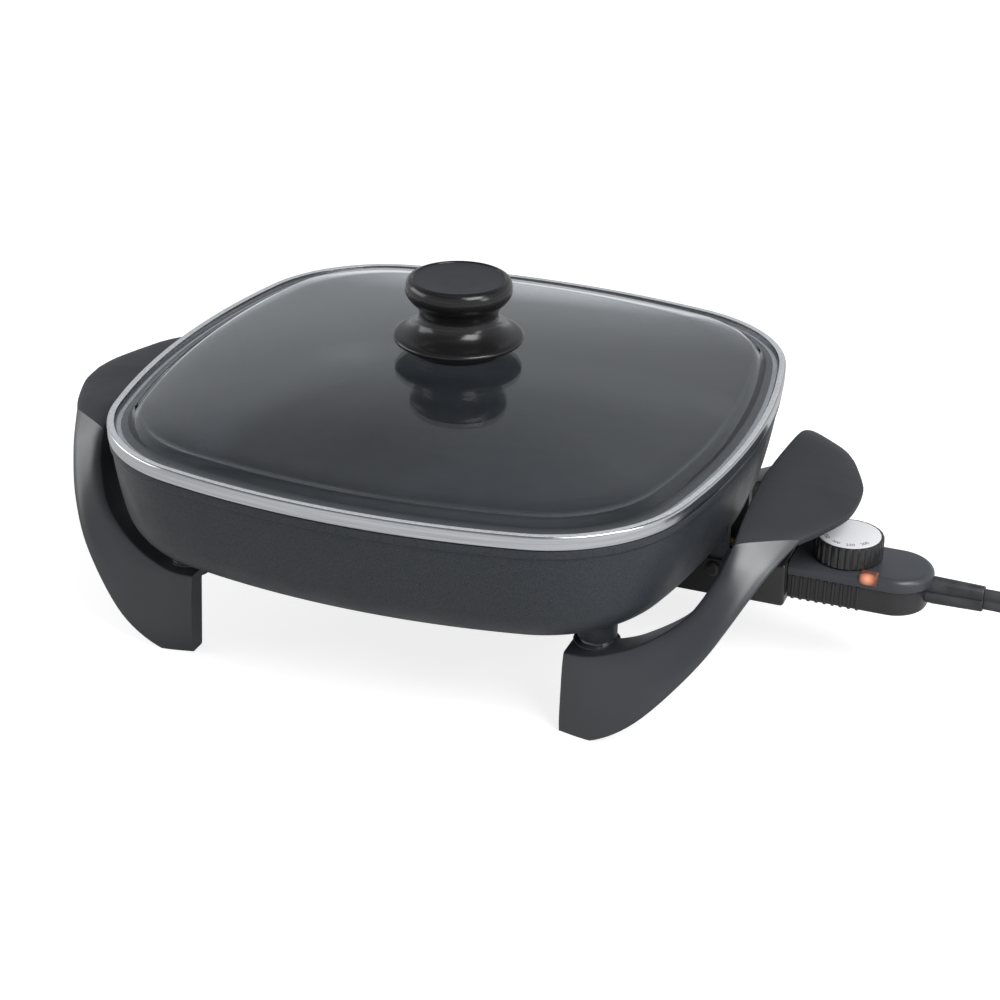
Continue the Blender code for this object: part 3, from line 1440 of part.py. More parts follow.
def make_dial(shaft_bottom):
    """The fluted dial, its silver face and the shaft that sets the switch."""
    flutes = []
    for step in range(DIAL_FLUTES * 4):
        angle = math.tau * step / (DIAL_FLUTES * 4)
        radius = DIAL_RADIUS - (DIAL_FLUTE_DEPTH if step % 4 == 0 else 0.0)
        flutes.append((DIAL_X + radius * math.cos(angle), radius * math.sin(angle)))
    dial = add_slab("dial", flutes, DIAL_BOTTOM, DIAL_TOP, "phenolic_gloss", DIAL)
    face_radius = DIAL_RADIUS - DIAL_RIM
    recess = add_cylinder(
        "dial_recess",
        (DIAL_X, 0.0, DIAL_TOP - DIAL_FACE_THICKNESS),
        (DIAL_X, 0.0, DIAL_TOP + OVERRUN),
        face_radius,
        None,
        DIAL,
        40,
        cutter=True,
    )
    combine(dial, recess)
    socket_top = DIAL_TOP - DIAL_FACE_THICKNESS - DIAL_RIM
    socket = add_cylinder(
        "dial_socket",
        (DIAL_X, 0.0, DIAL_BOTTOM - OVERRUN),
        (DIAL_X, 0.0, socket_top),
        SHAFT_RADIUS + CLEARANCE,
        None,
        DIAL,
        20,
        cutter=True,
    )
    combine(dial, socket)
    add_cylinder(
        "dial_face",
        (DIAL_X, 0.0, DIAL_TOP - DIAL_FACE_THICKNESS + CLEARANCE),
        (DIAL_X, 0.0, DIAL_TOP + CLEARANCE / 2),
        face_radius - CLEARANCE,
        "dial_silver",
        DIAL,
        40,
    )
    bottom = shaft_bottom
    collar_top = HOUSING_TOP - HOUSING_WALL - CLEARANCE - bottom
    profile = [
        (0.0, socket_top - CLEARANCE - bottom),
        (SHAFT_RADIUS, socket_top - CLEARANCE - bottom),
        (SHAFT_RADIUS, collar_top),
        (SHAFT_COLLAR_RADIUS, collar_top),
        (SHAFT_COLLAR_RADIUS, collar_top - SHAFT_COLLAR_HEIGHT),
        (SHAFT_RADIUS, collar_top - SHAFT_COLLAR_HEIGHT),
        (SHAFT_RADIUS, SHAFT_RADIUS / 2),
        (SHAFT_RADIUS / 2, 0.0),
        (0.0, 0.0),
    ]
    add_turned("dial_shaft", profile, (DIAL_X, 0.0, bottom), "plated_steel", DIAL, 20)


def twin_section(width, thickness):
    """The lead's outline: two lobes with a shallow groove between them on both flats."""
    radius = thickness / 2
    centre = width / 2 - radius
    groove = radius * CORD_GROOVE_SHARE
    upper = []
    for degrees in (-15, 35, 90, 145, 195):
        angle = math.radians(degrees)
        upper.append((radius * math.cos(angle), centre + radius * math.sin(angle)))
    lower = [(-u, -v) for u, v in upper]
    return [(groove, 0.0)] + upper + [(-groove, 0.0)] + lower


def sweep(path, width, thickness):
    """A flat lead along a path, with its wide side upright."""
    rings = []
    up = Vector((0.0, 0.0, 1.0))
    for i, point in enumerate(path):
        along = (path[min(i + 1, len(path) - 1)] - path[max(i - 1, 0)]).normalized()
        across = along.cross(up).normalized()
        lift = across.cross(along).normalized()
        section = twin_section(width, thickness)
        rings.append([point + across * u + lift * v for u, v in section])
    return loft(rings)


def lead_points():
    """The lead's route from the relief to the coil, smoothed."""
    start = Vector((CORD_START, 0.0, RELIEF_Z))
    fall = RELIEF_Z - CORD_WIDTH / 2 - CLEARANCE
    depth = -LEAD_ROUTE[-1][2]
    rows = [(x, y, z * fall / depth) for x, y, z in LEAD_ROUTE]
    return [start + row for row in smooth_rows(rows, 2, 0)]


def coil_points(start):
    """One spiral inwards from the lead's end, and a tighter tail that ends at the plug."""
    turning = start + Vector((CORD_WIDTH, 0.0, 0.0))
    centre = turning + Vector((0.0, COIL_START_RADIUS, 0.0))
    count = round(COIL_POINTS_PER_TURN * COIL_TURNS)
    points = [start]
    for step in range(count + 1):
        angle = math.tau * step / COIL_POINTS_PER_TURN
        radius = COIL_START_RADIUS - COIL_PITCH * angle / math.tau
        way = Vector((math.sin(angle), -math.cos(angle), 0.0))
        points.append(centre + way * radius)
    way = (points[-1] - centre).normalized()
    tail_centre = points[-1] - way * TAIL_RADIUS
    tail_count = round(COIL_POINTS_PER_TURN * TAIL_TURN / math.tau)
    for step in range(1, tail_count + 1):
        turn = Matrix.Rotation(TAIL_TURN * step / tail_count, 3, "Z")
        points.append(tail_centre + turn @ way * TAIL_RADIUS)
    along = (points[-1] - points[-2]).normalized()
    points.append(points[-1] + along * CORD_WIDTH)
    return points


def least_gap(points, thickness):
    """The least gap between turns of a coil, skin to skin."""
    least = None
    fine = []
    for a, b in zip(points, points[1:]):
        fine += [a.lerp(b, step / 4) for step in range(4)]
    reach = COIL_POINTS_PER_TURN * 2
    for i, point in enumerate(fine):
        for other in fine[i + reach :]:
            gap = (point - other).length - thickness
            if least is None or gap < least:
                least = gap
    return least


def path_length(points):
    """The length of a run of points."""
    return sum((b - a).length for a, b in zip(points, points[1:]))


def make_relief():
    """The strain relief: a collar inside the housing and a tapered twin sleeve outside it."""
    collar = BASE_END - HOUSING_WALL * 2
    inside = collar - RELIEF_ROOT
    up = Vector((0.0, 0.0, 1.0))
    across = Vector((0.0, -1.0, 0.0))
    grow = RELIEF_ROOT * 2
    stations = (
        (inside, RELIEF_WIDTH - grow / 2, RELIEF_THICKNESS + grow),
        (collar, RELIEF_WIDTH - grow / 2, RELIEF_THICKNESS + grow),
        (collar, RELIEF_WIDTH - CLEARANCE, RELIEF_THICKNESS - CLEARANCE),
        (HOUSING_END + CLEARANCE, RELIEF_WIDTH - CLEARANCE, RELIEF_THICKNESS - CLEARANCE),
        (HOUSING_END + CLEARANCE, RELIEF_WIDTH, RELIEF_THICKNESS),
        (RELIEF_END - RELIEF_EDGE, RELIEF_END_WIDTH, RELIEF_END_THICKNESS),
        (RELIEF_END, RELIEF_END_WIDTH - RELIEF_EDGE, RELIEF_END_THICKNESS - RELIEF_EDGE),
    )
    rings = []
    for x, width, thickness in stations:
        place = Vector((x, 0.0, RELIEF_Z))
        section = twin_section(width, thickness)
        rings.append([place + across * u + up * v for u, v in section])
    add_mesh("strain_relief", loft(rings), "cord_rubber", CONTROL)


def make_cord():
    """The flat lead, its coil and the plug with its two blades."""
    lead = lead_points()
    coil = coil_points(lead[-1] + Vector((CLEARANCE, 0.0, 0.0)))
    add_mesh("cord_lead", sweep(lead, CORD_WIDTH, CORD_THICKNESS), "cord_rubber", CONTROL)
    add_mesh("cord_coil", sweep(coil, CORD_WIDTH, CORD_THICKNESS), "cord_rubber", CONTROL)
    print("least gap between the coil's turns, mm:", 1000 * least_gap(coil, CORD_THICKNESS))
    print("cord length, m:", path_length(lead) + path_length(coil) + RELIEF_LENGTH)
    along = (coil[-1] - coil[-2]).normalized()
    across = Vector((-along.y, along.x, 0.0))
    back = coil[-1] + along * CLEARANCE
    back.z = PLUG_THICKNESS / 2
    rings = []
    for reach, width, height in PLUG_SHARES:
        half_w, half_h = PLUG_WIDTH * width / 2, PLUG_THICKNESS * height / 2
        cut = min(PLUG_EDGE, half_w * 0.6, half_h * 0.6)
        corner = [
            (half_w, -half_h + cut),
            (half_w, half_h - cut),
            (half_w - cut, half_h),
            (-half_w + cut, half_h),
            (-half_w, half_h - cut),
            (-half_w, -half_h + cut),
            (-half_w + cut, -half_h),
            (half_w - cut, -half_h),
        ]
        place = back + along * PLUG_LENGTH * reach
        rings.append([place + across * u + Vector((0.0, 0.0, v)) for u, v in corner])
    add_mesh("plug_body", loft(rings), "cord_rubber", CONTROL)
    face = back + along * (PLUG_LENGTH + CLEARANCE)
    for name, side in (("plug_blade_left", 1), ("plug_blade_right", -1)):
        root = face + across * side * BLADE_SPACING / 2
        bm = box_mesh(
            (0.0, -BLADE_THICKNESS / 2, -BLADE_WIDTH / 2),
            (BLADE_LENGTH, BLADE_THICKNESS / 2, BLADE_WIDTH / 2),
        )
        turn = Matrix.Rotation(math.atan2(along.y, along.x), 4, "Z")
        bmesh.ops.transform(bm, matrix=Matrix.Translation(root) @ turn, verts=bm.verts)
        add_mesh(name, bm, "contact_brass", CONTROL)


make_pan()
make_element()
make_guard()
make_handle("right_handle", 1)
make_handle("left_handle", -1)
make_handle_fixings()
make_lid()
make_housing()
make_hood()
make_contacts()
shaft_bottom = make_thermostat()
make_lamp()
make_dial(shaft_bottom)
make_relief()
make_cord()
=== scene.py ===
"""Dressed scene of a square electric skillet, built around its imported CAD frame.

Metres, +Z up, standing on z = 0. The front is towards -Y and the heat control plugs in at +X.
Pieces are drawn about the pan's centre line, as the CAD source draws them, and then moved with
the whole skillet, so the same sizes hold in both.
"""

import json
import math

import bmesh
import bpy
from mathutils import Matrix, Vector

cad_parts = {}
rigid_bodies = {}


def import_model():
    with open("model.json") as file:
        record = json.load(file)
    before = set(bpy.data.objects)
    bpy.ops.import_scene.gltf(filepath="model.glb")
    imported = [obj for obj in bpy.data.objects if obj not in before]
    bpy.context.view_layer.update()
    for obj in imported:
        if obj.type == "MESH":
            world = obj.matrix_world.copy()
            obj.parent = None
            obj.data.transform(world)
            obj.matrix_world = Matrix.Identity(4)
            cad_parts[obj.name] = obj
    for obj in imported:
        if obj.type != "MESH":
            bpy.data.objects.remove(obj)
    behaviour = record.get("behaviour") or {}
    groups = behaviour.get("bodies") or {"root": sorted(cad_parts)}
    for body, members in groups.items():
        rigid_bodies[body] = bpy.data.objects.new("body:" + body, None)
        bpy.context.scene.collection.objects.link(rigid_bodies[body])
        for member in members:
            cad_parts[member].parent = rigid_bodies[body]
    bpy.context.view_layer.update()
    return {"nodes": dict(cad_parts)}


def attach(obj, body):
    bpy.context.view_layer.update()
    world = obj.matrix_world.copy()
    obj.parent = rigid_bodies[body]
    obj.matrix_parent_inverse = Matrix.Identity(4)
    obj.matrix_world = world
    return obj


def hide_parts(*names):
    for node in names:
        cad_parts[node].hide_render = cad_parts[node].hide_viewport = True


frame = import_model()

bl_info = {
    "name": "Electric skillet",
    "version": (1, 0, 0),
    "blender": (4, 5, 0),
    "location": "3D View > Sidebar > Skillet",
    "description": "Dresses the square electric skillet and sets its stage",
    "category": "Object",
}

# Clearances
CLEARANCE = 0.0003
LOOSE_FIT = 0.0005
MERGE = 0.000002
SEAM_MERGE = 0.0001

# Outline shared by the lid and the pan
LID_HALF = 0.152
SIDE_BOW_RADIUS = 0.398
CORNER_RADIUS = 0.0746
SIDE_STEPS = 20
CORNER_STEPS = 28

# Handle and leg mouldings
FOOT_INSET = 0.0579
FOOT_FRONT_INSET = 0.040
LEDGE_HEIGHT = 0.0402
GRIP_STANDOFF = 0.004
GRIP_WIDTH = 0.0461
GRIP_HEIGHT = 0.0952
GRIP_EDGE_HEIGHT = 0.090
FOOT_WALL = 0.0095
GRIP_WALL = 0.004
FOOT_LEDGE_WIDTH = 0.017
GRIP_LIP_WIDTH = 0.006
LEDGE_THICKNESS = 0.0042
FACE_CROWN = 0.0013
SECTION_ROUND_LIMIT = GRIP_WALL / 3
INNER_ROUND_SHARE = 0.6
HANDLE_STEPS = 7
FACE_STEPS = 9

# Bolted posts between the pan and its legs
POST_INSET_X = 0.0475
POST_INSET_Y = 0.064
POST_RADIUS = 0.0092
POST_ROOT_RADIUS = POST_RADIUS * 1.35
POST_ROOT_HEIGHT = POST_RADIUS * 0.4
POST_ROOT_ROUND = POST_RADIUS * 0.3
POST_LENGTH = 0.0108
POST_SEAT_RADIUS = 0.011
POST_SEAT_THICKNESS = 0.0065
POST_SEAT_STEP = 0.0011
WASHER_THICKNESS = 0.0012
SCREW_RADIUS = 0.0021
POST_STEPS = 48

# Pan
PAN_HEIGHT = 0.0544
PAN_FLOOR = 0.0035
PAN_WALL_TOP = 0.0052
PAN_WALL_LOW = 0.0032
PAN_FILLET = 0.0246
PAN_LEAN_TOP = math.radians(5.3)
PAN_LEAN_LOW = math.radians(14)
RIM_INSET = 0.0006
RIM_LIP_STEP = 0.001
RIM_LIP_HEIGHT = 0.0038
RIM_LEDGE_WIDTH = 0.0046
RIM_BEAD_WIDTH = 0.002
RIM_BEAD_HEIGHT = 0.0013
BEAD_ROUND_SHARE = 1.4
WALL_STEPS = 8
FILLET_STEPS = 12
SAMPLE_STEPS = 20

# Heating element, in a channel cast under the pan
ELEMENT_RADIUS = 0.004
ELEMENT_LOOP_RADIUS = 0.078
ELEMENT_TURN_RADIUS = 0.018
ELEMENT_HALF_SPACING = 0.0125
ELEMENT_END_INSET = 0.034
CHANNEL_WALL = 0.0027
LOOP_STEPS = 96
TURN_STEPS = 10
TUBE_STEPS = 20
SENSOR_BOSS_RADIUS = 0.0062
SENSOR_BOSS_LENGTH = 0.034
SENSOR_BOSS_ROUND = SENSOR_BOSS_RADIUS * 0.3
SENSOR_RADIUS = 0.003
BOSS_STEPS = 40

# Guard lugs under the pan
GUARD_END_INSET = 0.006
GUARD_HALF_WIDTH = 0.0227
GUARD_SHEET = 0.0015
LUG_LENGTH = 0.012
LUG_THICKNESS = 0.005
LUG_HEIGHT = 0.0075
LUG_STEPS = 8

# Glass lid
BAND_HEIGHT = 0.007
BAND_SHEET = 0.0007
BAND_ROLL = 0.0016
BAND_LIP = 0.0034
BAND_LIP_FALL = 0.0004
BAND_LIP_ROUND_SHARE = 0.4
# How upright a face of the band's lip must be to take the lip's satin finish, whose pale colour is
# a painted highlight
LIP_HIGHLIGHT_UPRIGHT = 0.95
BAND_SHELF = 0.0018
BAND_SHELF_ROUND_SHARE = 0.8
BAND_STEPS = 6
GLASS_THICKNESS = 0.0035
GLASS_FLANGE = 0.0085
GLASS_BEND_RUN = 0.008
GLASS_BEND_RISE = 0.0048
DOME_RISE = 0.0137
GLASS_HOLE_RADIUS = 0.0032
GLASS_EDGE_ROUND = CLEARANCE * 1.5
DOME_RINGS = 16
BEND_RINGS = 8

# Lid knob
SKIRT_RADIUS = 0.0225
SKIRT_HEIGHT = 0.0052
SKIRT_EDGE = 0.0006
KNOB_HEIGHT = 0.0313
KNOB_RADIUS = 0.0318
KNOB_DISH = 0.0007
KNOB_BORE_RADIUS = 0.0026
KNOB_BORE_DEPTH = 0.017
KNOB_STEPS = 5
KNOB_TURN_STEPS = 128

# Heat control housing
HOUSING_HALF_WIDTH = 0.018
HOUSING_LENGTH = 0.0655
HOUSING_BASE_HEIGHT = 0.013
HOUSING_COVER_HEIGHT = 0.0062
HOUSING_DROP = 0.0087
HOUSING_WALL = 0.002
COVER_EDGE = 0.0034
BASE_EDGE = 0.002
BASE_INSET = 0.0013
BASE_SHORTENING = 0.0007
GRIP_RIB_COUNT = 9
GRIP_RIB_WIDTH = 0.0014
GRIP_RIB_PITCH = 0.00387
GRIP_RIB_DEPTH = 0.0011
GRIP_RIB_SOFT = GRIP_RIB_DEPTH * 0.4
GRIP_RIB_FOOT = GRIP_RIB_SOFT * 0.4
GRIP_RIB_SHOULDER = GRIP_RIB_SOFT * 0.3
END_STEPS = 40
COVER_SIDE_STEPS = 6
COVER_EDGE_STEPS = 9
HOOD_LENGTH = 0.0255
HOOD_HALF_WIDTH = 0.022
HOOD_DROP = 0.0114
HOOD_WALL = 0.0022
HOOD_EDGE = 0.0018
HOOD_GAP = 0.003
LENS_LENGTH = 0.009
LENS_DEPTH = 0.007
LENS_HEIGHT = 0.0052
LENS_PROUD = 0.0005
LENS_EDGE = 0.0013
LENS_FROM_DIAL = 0.0137
LENS_GLOW_REACH = LENS_LENGTH * 0.55
LENS_GLOW_COLOUR = (1.0, 0.42, 0.24)

# Dial
DIAL_FROM_HOOD = 0.0243
DIAL_RADIUS = 0.0165
DIAL_HEIGHT = 0.0108
DIAL_FLUTES = 30
DIAL_FLUTE_DEPTH = 0.0006
DIAL_FLUTE_SHARPNESS = 1.5
DIAL_STEPS = DIAL_FLUTES * 8
DIAL_RIM = 0.0013
DIAL_FACE_THICKNESS = 0.0009
DISC_STEPS = 96
NUMERALS = ("200", "250", "300", "350", "400")
NUMERAL_PITCH = math.radians(35)
NUMERAL_START = math.radians(50)
NUMERAL_RADIUS_SHARE = 0.78
NUMERAL_THICKNESS = CLEARANCE / 4
NUMERAL_CURVE_STEPS = 3

# Cord, a flat twin lead that stands on its edge
CORD_WIDTH = 0.0104
CORD_THICKNESS = 0.0052
RELIEF_LENGTH = 0.024
RELIEF_WIDTH = 0.0138
RELIEF_THICKNESS = 0.0086
RELIEF_ROOT = 0.002
RELIEF_END_WIDTH = 0.0128
RELIEF_END_THICKNESS = 0.0074
RELIEF_EDGE = 0.0008
COIL_START_RADIUS = 0.066
COIL_PITCH = 0.0059
COIL_TURNS = 1.4
COIL_POINTS_PER_TURN = 72
TAIL_RADIUS = 0.034
TAIL_TURN = math.radians(120)
PLUG_LENGTH = 0.034
PLUG_WIDTH = 0.0235
PLUG_THICKNESS = 0.0124
LOBE_DIP = math.radians(22)
LOBE_STEPS = 12
GROOVE_SHARE = 0.72
ROUTE_STEPS = 6

# The lead's route from the strain relief to its coil, in metres from the relief's end
LEAD_ROUTE = (
    (0.000, 0.000, 0.0000),
    (0.008, 0.000, -0.0001),
    (0.018, 0.000, -0.0012),
    (0.030, 0.000, -0.0050),
    (0.044, 0.000, -0.0128),
    (0.058, 0.000, -0.0230),
    (0.072, 0.000, -0.0330),
    (0.086, 0.000, -0.0402),
    (0.099, 0.000, -0.0438),
    (0.110, 0.000, -0.0447),
    (0.118, 0.000, -0.0447),
)

# The moulding's two long edges, from the front foot's end to the middle of the grip.
# Each row gives the share of its run outwards, forwards and upwards.
UPPER_EDGE_SHARES = (
    (0.00, 0.934, 0.00),
    (0.23, 0.933, 0.02),
    (0.55, 0.892, 0.155),
    (0.835, 0.812, 0.385),
    (0.985, 0.716, 0.652),
    (1.04, 0.661, 0.80),
    (1.07, 0.603, 0.913),
    (1.058, 0.464, 1.005),
    (1.02, 0.223, 1.004),
    (1.00, 0.00, 1.00),
)
LOWER_EDGE_SHARES = (
    (0.00, 0.961, 0.00),
    (0.145, 0.988, 0.00),
    (0.342, 0.986, 0.161),
    (0.545, 0.902, 0.443),
    (0.667, 0.791, 0.674),
    (0.767, 0.625, 0.869),
    (0.856, 0.433, 0.988),
    (0.906, 0.341, 0.994),
    (0.985, 0.143, 0.994),
    (1.00, 0.00, 1.00),
)
# How far each row's wall, and then its ledge, has gone from the foot's size to the grip's
WALL_SHARES = (0.0, 0.0, 0.35, 0.6, 0.78, 0.88, 0.95, 1.0, 1.0, 1.0)
LEDGE_SHARES = (0.0, 0.0, 0.1, 0.15, 0.15, 0.12, 0.28, 0.55, 0.9, 1.0)
CREASE_ROW = 6

# The knob's side, from the edge of its matte top down over its waist to the rim of its flange.
# Each row gives the share of the flange's radius and of the knob's height.
KNOB_SIDE_SHARES = (
    (0.708, 1.000),
    (0.764, 0.980),
    (0.802, 0.925),
    (0.818, 0.834),
    (0.802, 0.745),
    (0.738, 0.655),
    (0.652, 0.570),
    (0.606, 0.470),
    (0.606, 0.375),
    (0.636, 0.285),
    (0.714, 0.200),
    (0.830, 0.142),
    (0.945, 0.110),
    (0.990, 0.083),
    (1.000, 0.050),
    (0.985, 0.018),
    (0.955, 0.000),
)

# The plug's body from its back to its front. Each row gives the share of its length, width and
# thickness.
PLUG_SHARES = (
    (0.12, 0.50, 0.94),
    (0.24, 0.64, 0.98),
    (0.38, 0.72, 1.00),
    (0.62, 0.80, 1.00),
    (0.78, 0.95, 1.00),
    (0.86, 1.00, 1.00),
    (0.97, 1.00, 1.00),
    (1.00, 0.96, 0.94),
)
# The sleeve on the plug's back. Each row gives the share of the plug's length, and of the lead's
# thickness and width.
PLUG_SLEEVE_SHARES = (
    (0.00, 1.50, 1.10),
    (0.06, 1.60, 1.12),
)
PLUG_ROUND_SHARE = 0.7
PLUG_ROUND_STEPS = 6

# The step down from the knob's round edge to its matte top. Each row gives the share of the
# skirt's edge radius inwards, and of the dish's depth upwards.
KNOB_DISH_SHARES = (
    (1.5, 0.0),
    (1.0, 0.1),
    (0.4, 0.75),
)

# The dial's lower and upper edges. Each row gives, in shares of a flute's depth, how far a ring
# is drawn in, how deep its flutes are, and how far it lies from the dial's bottom or top.
DIAL_LOWER_EDGE = (
    (1.0, 0.0, 0.0),
    (0.2, 0.6, 0.3),
    (0.0, 1.0, 1.0),
)
DIAL_UPPER_EDGE = (
    (0.0, 1.0, 1.6),
    (0.4, 0.6, 0.6),
    (1.2, 0.0, 0.1),
    (1.8, 0.0, 0.0),
)
DIAL_RIM_ROUND = DIAL_FLUTE_DEPTH * 0.2
DIAL_RIM_DROP = DIAL_FLUTE_DEPTH * 0.3

# Levels and places that follow from the sizes above
SEAT_TOP = LEDGE_HEIGHT + POST_SEAT_STEP
POST_BOTTOM = SEAT_TOP + WASHER_THICKNESS + CLEARANCE * 2
PAN_UNDER = POST_BOTTOM + POST_LENGTH
PAN_RIM = PAN_UNDER + PAN_HEIGHT
LID_BOTTOM = PAN_RIM + CLEARANCE
LID_TOP = LID_BOTTOM + BAND_HEIGHT
GLASS_TOP = LID_TOP - BAND_SHEET - CLEARANCE
GLASS_BOTTOM = GLASS_TOP - GLASS_THICKNESS
BEND_TOP = GLASS_TOP + GLASS_BEND_RISE
DOME_TOP = BEND_TOP + DOME_RISE
GLASS_EDGE_INSET = BAND_SHEET + CLEARANCE
DOME_INSET = GLASS_EDGE_INSET + GLASS_FLANGE + GLASS_BEND_RUN
SKIRT_BOTTOM = DOME_TOP + CLEARANCE
KNOB_BOTTOM = SKIRT_BOTTOM + SKIRT_HEIGHT + CLEARANCE
FOOT_X = LID_HALF - FOOT_INSET
FOOT_FRONT = LID_HALF - FOOT_FRONT_INSET
GRIP_INNER = LID_HALF + GRIP_STANDOFF
GRIP_OUTER = GRIP_INNER + GRIP_WIDTH
POST_X = LID_HALF - POST_INSET_X
POST_Y = LID_HALF - POST_INSET_Y
ELEMENT_Z = PAN_UNDER - ELEMENT_RADIUS - CLEARANCE
CHANNEL_BOTTOM = ELEMENT_Z - ELEMENT_RADIUS - CLEARANCE
ELEMENT_END = LID_HALF - ELEMENT_END_INSET
GUARD_END = LID_HALF - GUARD_END_INSET
HOOD_START = GUARD_END + HOOD_GAP
HOOD_END = HOOD_START + HOOD_LENGTH
HOUSING_START = HOOD_END + CLEARANCE
HOUSING_END = HOUSING_START + HOUSING_LENGTH
END_CENTRE = HOUSING_END - HOUSING_HALF_WIDTH
BASE_HALF_WIDTH = HOUSING_HALF_WIDTH - BASE_INSET
BASE_END = HOUSING_END - BASE_INSET - BASE_SHORTENING
HOUSING_BOTTOM = ELEMENT_Z - HOUSING_DROP
COVER_BOTTOM = HOUSING_BOTTOM + HOUSING_BASE_HEIGHT + CLEARANCE
HOUSING_TOP = COVER_BOTTOM + HOUSING_COVER_HEIGHT
HOOD_BOTTOM = ELEMENT_Z - HOOD_DROP
DIAL_X = HOOD_END + DIAL_FROM_HOOD
DIAL_BOTTOM = HOUSING_TOP + LOOSE_FIT
DIAL_TOP = DIAL_BOTTOM + DIAL_HEIGHT
RELIEF_Z = HOUSING_BOTTOM + (HOUSING_TOP - HOUSING_BOTTOM) / 2
RELIEF_END = HOUSING_END + RELIEF_LENGTH
CORD_START = RELIEF_END + CLEARANCE
MIDDLE_X = (HOUSING_END - GRIP_OUTER) / 2

# Camera, at the photograph's angle
CAMERA_PLACE = Vector((0.36225, -0.95878, 0.56044))
CAMERA_AZIMUTH = math.radians(20.493)
CAMERA_ELEVATION = math.radians(26.247)
CAMERA_ROLL = math.radians(1.058)
CAMERA_LENS = 82.6
CAMERA_REACH = 20.0
SENSOR_WIDTH = 36.0

# Lamps: each one's name, the way to it from the middle of the floor, its two sides and its power
LAMPS = (
    ("key_lamp", (0.58, -0.33, 0.74), (0.8, 0.8), 15.0),
    ("left_lamp", (-0.90, -0.17, 0.36), (1.2, 0.6), 6.0),
    ("right_lamp", (0.90, -0.20, 0.33), (0.35, 0.35), 2.3),
)

# The floor: half its side, its grey, and how bright it is to the eye and in reflections
FLOOR_HALF = 4.0
FLOOR_GREY = 0.55
FLOOR_SEEN = 0.78
FLOOR_MIRRORED = 0.12

# The surround: how bright it is at each height of a ray's way, seen through the glass and in
# reflections, its cool tint, and how much it lights
SKY_GREYS = ((0.0, 1.0), (0.2, 1.0), (0.36, 0.16), (0.76, 0.14), (1.0, 0.5))
MIRRORED_GREYS = ((0.0, 0.95), (0.06, 0.85), (0.14, 0.52), (0.31, 0.5), (0.46, 0.5),
                  (0.6, 0.34), (0.8, 0.12), (0.9, 0.2), (1.0, 0.3))
SKY_TINT = (0.92, 0.96, 1.0)
FILL_LIGHT = 0.42


# Surfaces


def surface(name, colour, roughness, metallic=0.0, **sockets):
    """A material of one shader, with its plain values on the shader's own sockets."""
    material = bpy.data.materials.new(name)
    material.use_nodes = True
    shader = material.node_tree.nodes["Principled BSDF"]
    shader.inputs["Base Color"].default_value = (*colour, 1.0)
    shader.inputs["Roughness"].default_value = roughness
    shader.inputs["Metallic"].default_value = metallic
    for socket, value in sockets.items():
        shader.inputs[socket.replace("_", " ")].default_value = value
    return material


def shader_of(material):
    """The material's shader."""
    return material.node_tree.nodes["Principled BSDF"]


def placed(material, centre=(0.0, 0.0, 0.0), stretch=(1.0, 1.0, 1.0)):
    """The piece's own space, moved to a centre and stretched along its axes."""
    nodes, links = material.node_tree.nodes, material.node_tree.links
    place = nodes.new("ShaderNodeTexCoord")
    mapping = nodes.new("ShaderNodeMapping")
    mapping.vector_type = "TEXTURE"
    mapping.inputs["Location"].default_value = centre
    mapping.inputs["Scale"].default_value = stretch
    links.new(place.outputs["Object"], mapping.inputs["Vector"])
    return mapping.outputs["Vector"]


def grain(material, scale, stretch=(1.0, 1.0, 1.0), detail=3.0):
    """A noise over the piece's own space, drawn out along its axes."""
    noise = material.node_tree.nodes.new("ShaderNodeTexNoise")
    noise.inputs["Scale"].default_value = scale
    noise.inputs["Detail"].default_value = detail
    material.node_tree.links.new(placed(material, stretch=stretch), noise.inputs["Vector"])
    return noise.outputs["Fac"]


def graded(material, source, low, high, start=0.35, end=0.65):
    """The source stretched to run from a low value to a high one."""
    scale = material.node_tree.nodes.new("ShaderNodeMapRange")
    scale.inputs["From Min"].default_value = start
    scale.inputs["From Max"].default_value = end
    scale.inputs["To Min"].default_value = low
    scale.inputs["To Max"].default_value = high
    material.node_tree.links.new(source, scale.inputs["Value"])
    return scale.outputs["Result"]


def vary_roughness(material, source, low, high):
    """Let the source move the roughness between two values."""
    result = graded(material, source, low, high)
    material.node_tree.links.new(result, shader_of(material).inputs["Roughness"])


def vary_colour(material, source, low, high, start=0.35, end=0.65):
    """Let the source move the colour between two colours."""
    ramp = material.node_tree.nodes.new("ShaderNodeValToRGB")
    ramp.color_ramp.elements[0].position = start
    ramp.color_ramp.elements[0].color = (*low, 1.0)
    ramp.color_ramp.elements[1].position = end
    ramp.color_ramp.elements[1].color = (*high, 1.0)
    material.node_tree.links.new(source, ramp.inputs["Fac"])
    material.node_tree.links.new(ramp.outputs["Color"], shader_of(material).inputs["Base Color"])


def emboss(material, source, depth):
    """Raise the surface by the source, on top of any relief it has."""
    links = material.node_tree.links
    bump = material.node_tree.nodes.new("ShaderNodeBump")
    bump.inputs["Distance"].default_value = depth
    bump.inputs["Strength"].default_value = 1.0
    normal = shader_of(material).inputs["Normal"]
    if normal.is_linked:
        links.new(normal.links[0].from_socket, bump.inputs["Normal"])
    links.new(source, bump.inputs["Height"])
    links.new(bump.outputs["Normal"], normal)


def lighter(colour, share):
    """The colour made lighter or darker by a share."""
    return tuple(min(channel * (1.0 + share), 1.0) for channel in colour)


